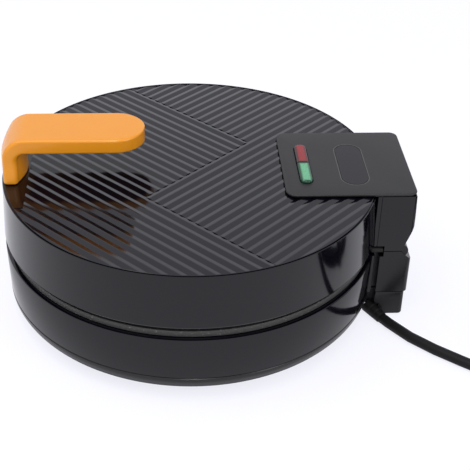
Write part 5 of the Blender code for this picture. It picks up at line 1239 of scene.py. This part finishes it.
def make_strap():
    centre, _, _, first_turn = coil_frame(free_points)
    total, thick, wide = coil_turn(), STRAP_THICK, STRAP_HALF_WIDTH
    passes = [(STRAP_TURN - first_turn) % math.tau + math.tau * i for i in range(math.ceil(total))]
    places = [coil_place(passed) for passed in passes if passed < total]
    inner = (min(r for r, _ in places) - LEAD_RADIUS - GAP) / MM
    outer = (max(r for r, _ in places) + LEAD_RADIUS + GAP) / MM
    low, high = STRAP_LOW, (max(z for _, z in places) + LEAD_RADIUS + GAP) / MM
    upright = Matrix(((1, 0, 0, 0), (0, 0, -1, 0), (0, 1, 0, 0), (0, 0, 0, 1)))
    turn = Matrix.Translation((centre.x, centre.y, 0)) @ Matrix.Rotation(STRAP_TURN, 4, "Z") @ upright
    outline = rounded_rectangle(inner - thick, outer + thick, low - thick, high + thick, 2 * thick, 2 * thick)
    strap = prism("coil_strap", outline, -wide, wide, turn)
    hole = rounded_rectangle(inner, outer, low, high, thick, thick)
    return cut(strap, prism("strap_hole", hole, -wide - 4, wide + 4, turn))


def make_plug():
    heading = wound_points[-1] - wound_points[-2]
    heading.z = 0
    heading.normalize()
    start = wound_points[-1] + heading * GAP
    side = Vector((-heading.y, heading.x, 0))
    turn = Matrix((heading, side, Vector((0, 0, 1)))).transposed().to_4x4()
    sleeve = along_line(turned("plug_sleeve", PLUG_SLEEVE, 48), start, heading)
    body_start = start + heading * (PLUG_SLEEVE[0][1] * MM + GAP)
    half = PLUG_THICKNESS / MM / 2
    body = prism("plug_block", PLUG_OUTLINE, -half, half, Matrix.Translation(body_start) @ turn)
    body = rounded(body, 3, 6, 30)
    pins, seats = [], []
    for index, across in enumerate((-PIN_SPREAD, PIN_SPREAD), 1):
        face = body_start + heading * (36 * MM) + side * (across * MM)
        root, tip = (face - heading * (PIN_ROOT * MM)) / MM, (face + heading * (PIN_REACH * MM)) / MM
        pins.append(rounded(rod(f"pin_{index}", root, tip, PIN_RADIUS), 0.8, 4))
        seats.append(rod("seat", root, (face + heading * (4 * MM)) / MM, PIN_RADIUS + 0.3))
    return sleeve, cut(body, together(seats)), pins


lead = tube("mains_lead", lead_points, LEAD_RADIUS, 8)
finished(lead, "base", LEAD_BLACK, "cord", "cord_coil")
relief = finished(make_relief(), "base", LEAD_BLACK, "strain_relief")
coil_strap = finished(make_strap(), "base", RUBBER, "cord_tie")
plug_sleeve, plug_block, plug_pins = make_plug()
finished(plug_sleeve, "base", LEAD_BLACK, "plug_relief")
finished(plug_block, "base", LEAD_BLACK, "plug_body")
for index, plug_pin in enumerate(plug_pins, 1):
    finished(plug_pin, "base", STEEL, f"plug_pin_{index}", slot="plug_pin")
print("lead made")

# %% [markdown]
# The studio is a pale floor under a white room. The glossy black walls show that room as a faint
# grey, which is all the light that black plastic gives back. One broad soft lamp stands above,
# one at the side, and a narrow one over the camera draws bright lines along the edges. For the
# camera and for reflections the floor mixes with plain white, so it stays pale and still holds
# the shadow.

# %% Floor and room
STUDIO_WHITE = (1.0, 1.0, 1.08)
FLOOR_WHITE_SHARE, FLOOR_WHITE, FLOOR_GREY = 0.72, 1.08, 0.86
ROOM_LIGHT, ROOM_COLOUR = 0.62, (0.96, 0.98, 1.0)


def studio_nodes(owner, output, plain, white, rays, share):
    """The named rays see that share of the white shader; all other light sees the plain one."""
    nodes = Nodes(owner)
    nodes.tree.nodes.clear()
    path = nodes.node("LightPath", {}, {})
    seen = path[rays[0]]
    for ray in rays[1:]:
        seen = seen.most(path[ray])
    shaders = [nodes.node(kind, {}, values)[end] for kind, end, values in (plain, white)]
    mixed = nodes.node("MixShader", {}, dict(enumerate([seen * share] + shaders)))["Shader"]
    nodes.node(output, {}, {"Surface": mixed})


def make_floor():
    bm = bmesh.new()
    bmesh.ops.create_circle(bm, cap_ends=True, segments=96, radius=3)
    floor = from_bmesh("studio_floor", bm)
    floor.location.z = -0.0002
    material = bpy.data.materials.new("studio_floor")
    studio_nodes(material, "OutputMaterial", ("BsdfDiffuse", "BSDF", {"Color": (FLOOR_GREY,) * 3}),
                 ("Emission", "Emission", {"Color": STUDIO_WHITE, "Strength": FLOOR_WHITE}),
                 ("Is Camera Ray", "Is Glossy Ray"), FLOOR_WHITE_SHARE)
    floor.data.materials.append(material)


def make_room():
    scene.world = bpy.data.worlds.new("studio_room")
    studio_nodes(scene.world, "OutputWorld",
                 ("Background", "Background", {"Color": ROOM_COLOUR, "Strength": ROOM_LIGHT}),
                 ("Background", "Background", {"Color": STUDIO_WHITE, "Strength": 1.0}),
                 ("Is Camera Ray", "Is Glossy Ray", "Is Transmission Ray"), 1.0)


make_floor()
make_room()
scene.view_settings.view_transform = "Standard"
print("floor and room made")


# %% Lamps
def add_lamp(name, place, target, width, height, power):
    data = bpy.data.lights.new(name, "AREA")
    data.shape = "RECTANGLE"
    data.size, data.size_y = width, height
    data.energy = power
    lamp = add_object(name, data)
    lamp.location = place
    lamp.rotation_mode = "QUATERNION"
    lamp.rotation_quaternion = (Vector(target) - Vector(place)).to_track_quat("-Z", "Y")


add_lamp("broad_lamp", (0.25, -0.45, 1.3), (0, 0, 0.05), 1.0, 1.0, 6.5)
add_lamp("side_lamp", (0.9, 0.9, 0.7), (0, 0, 0.05), 0.35, 0.8, 3)
add_lamp("edge_lamp", (0.84, 0, 1.30), (0, 0, 0.08), 0.09, 0.7, 3.8)
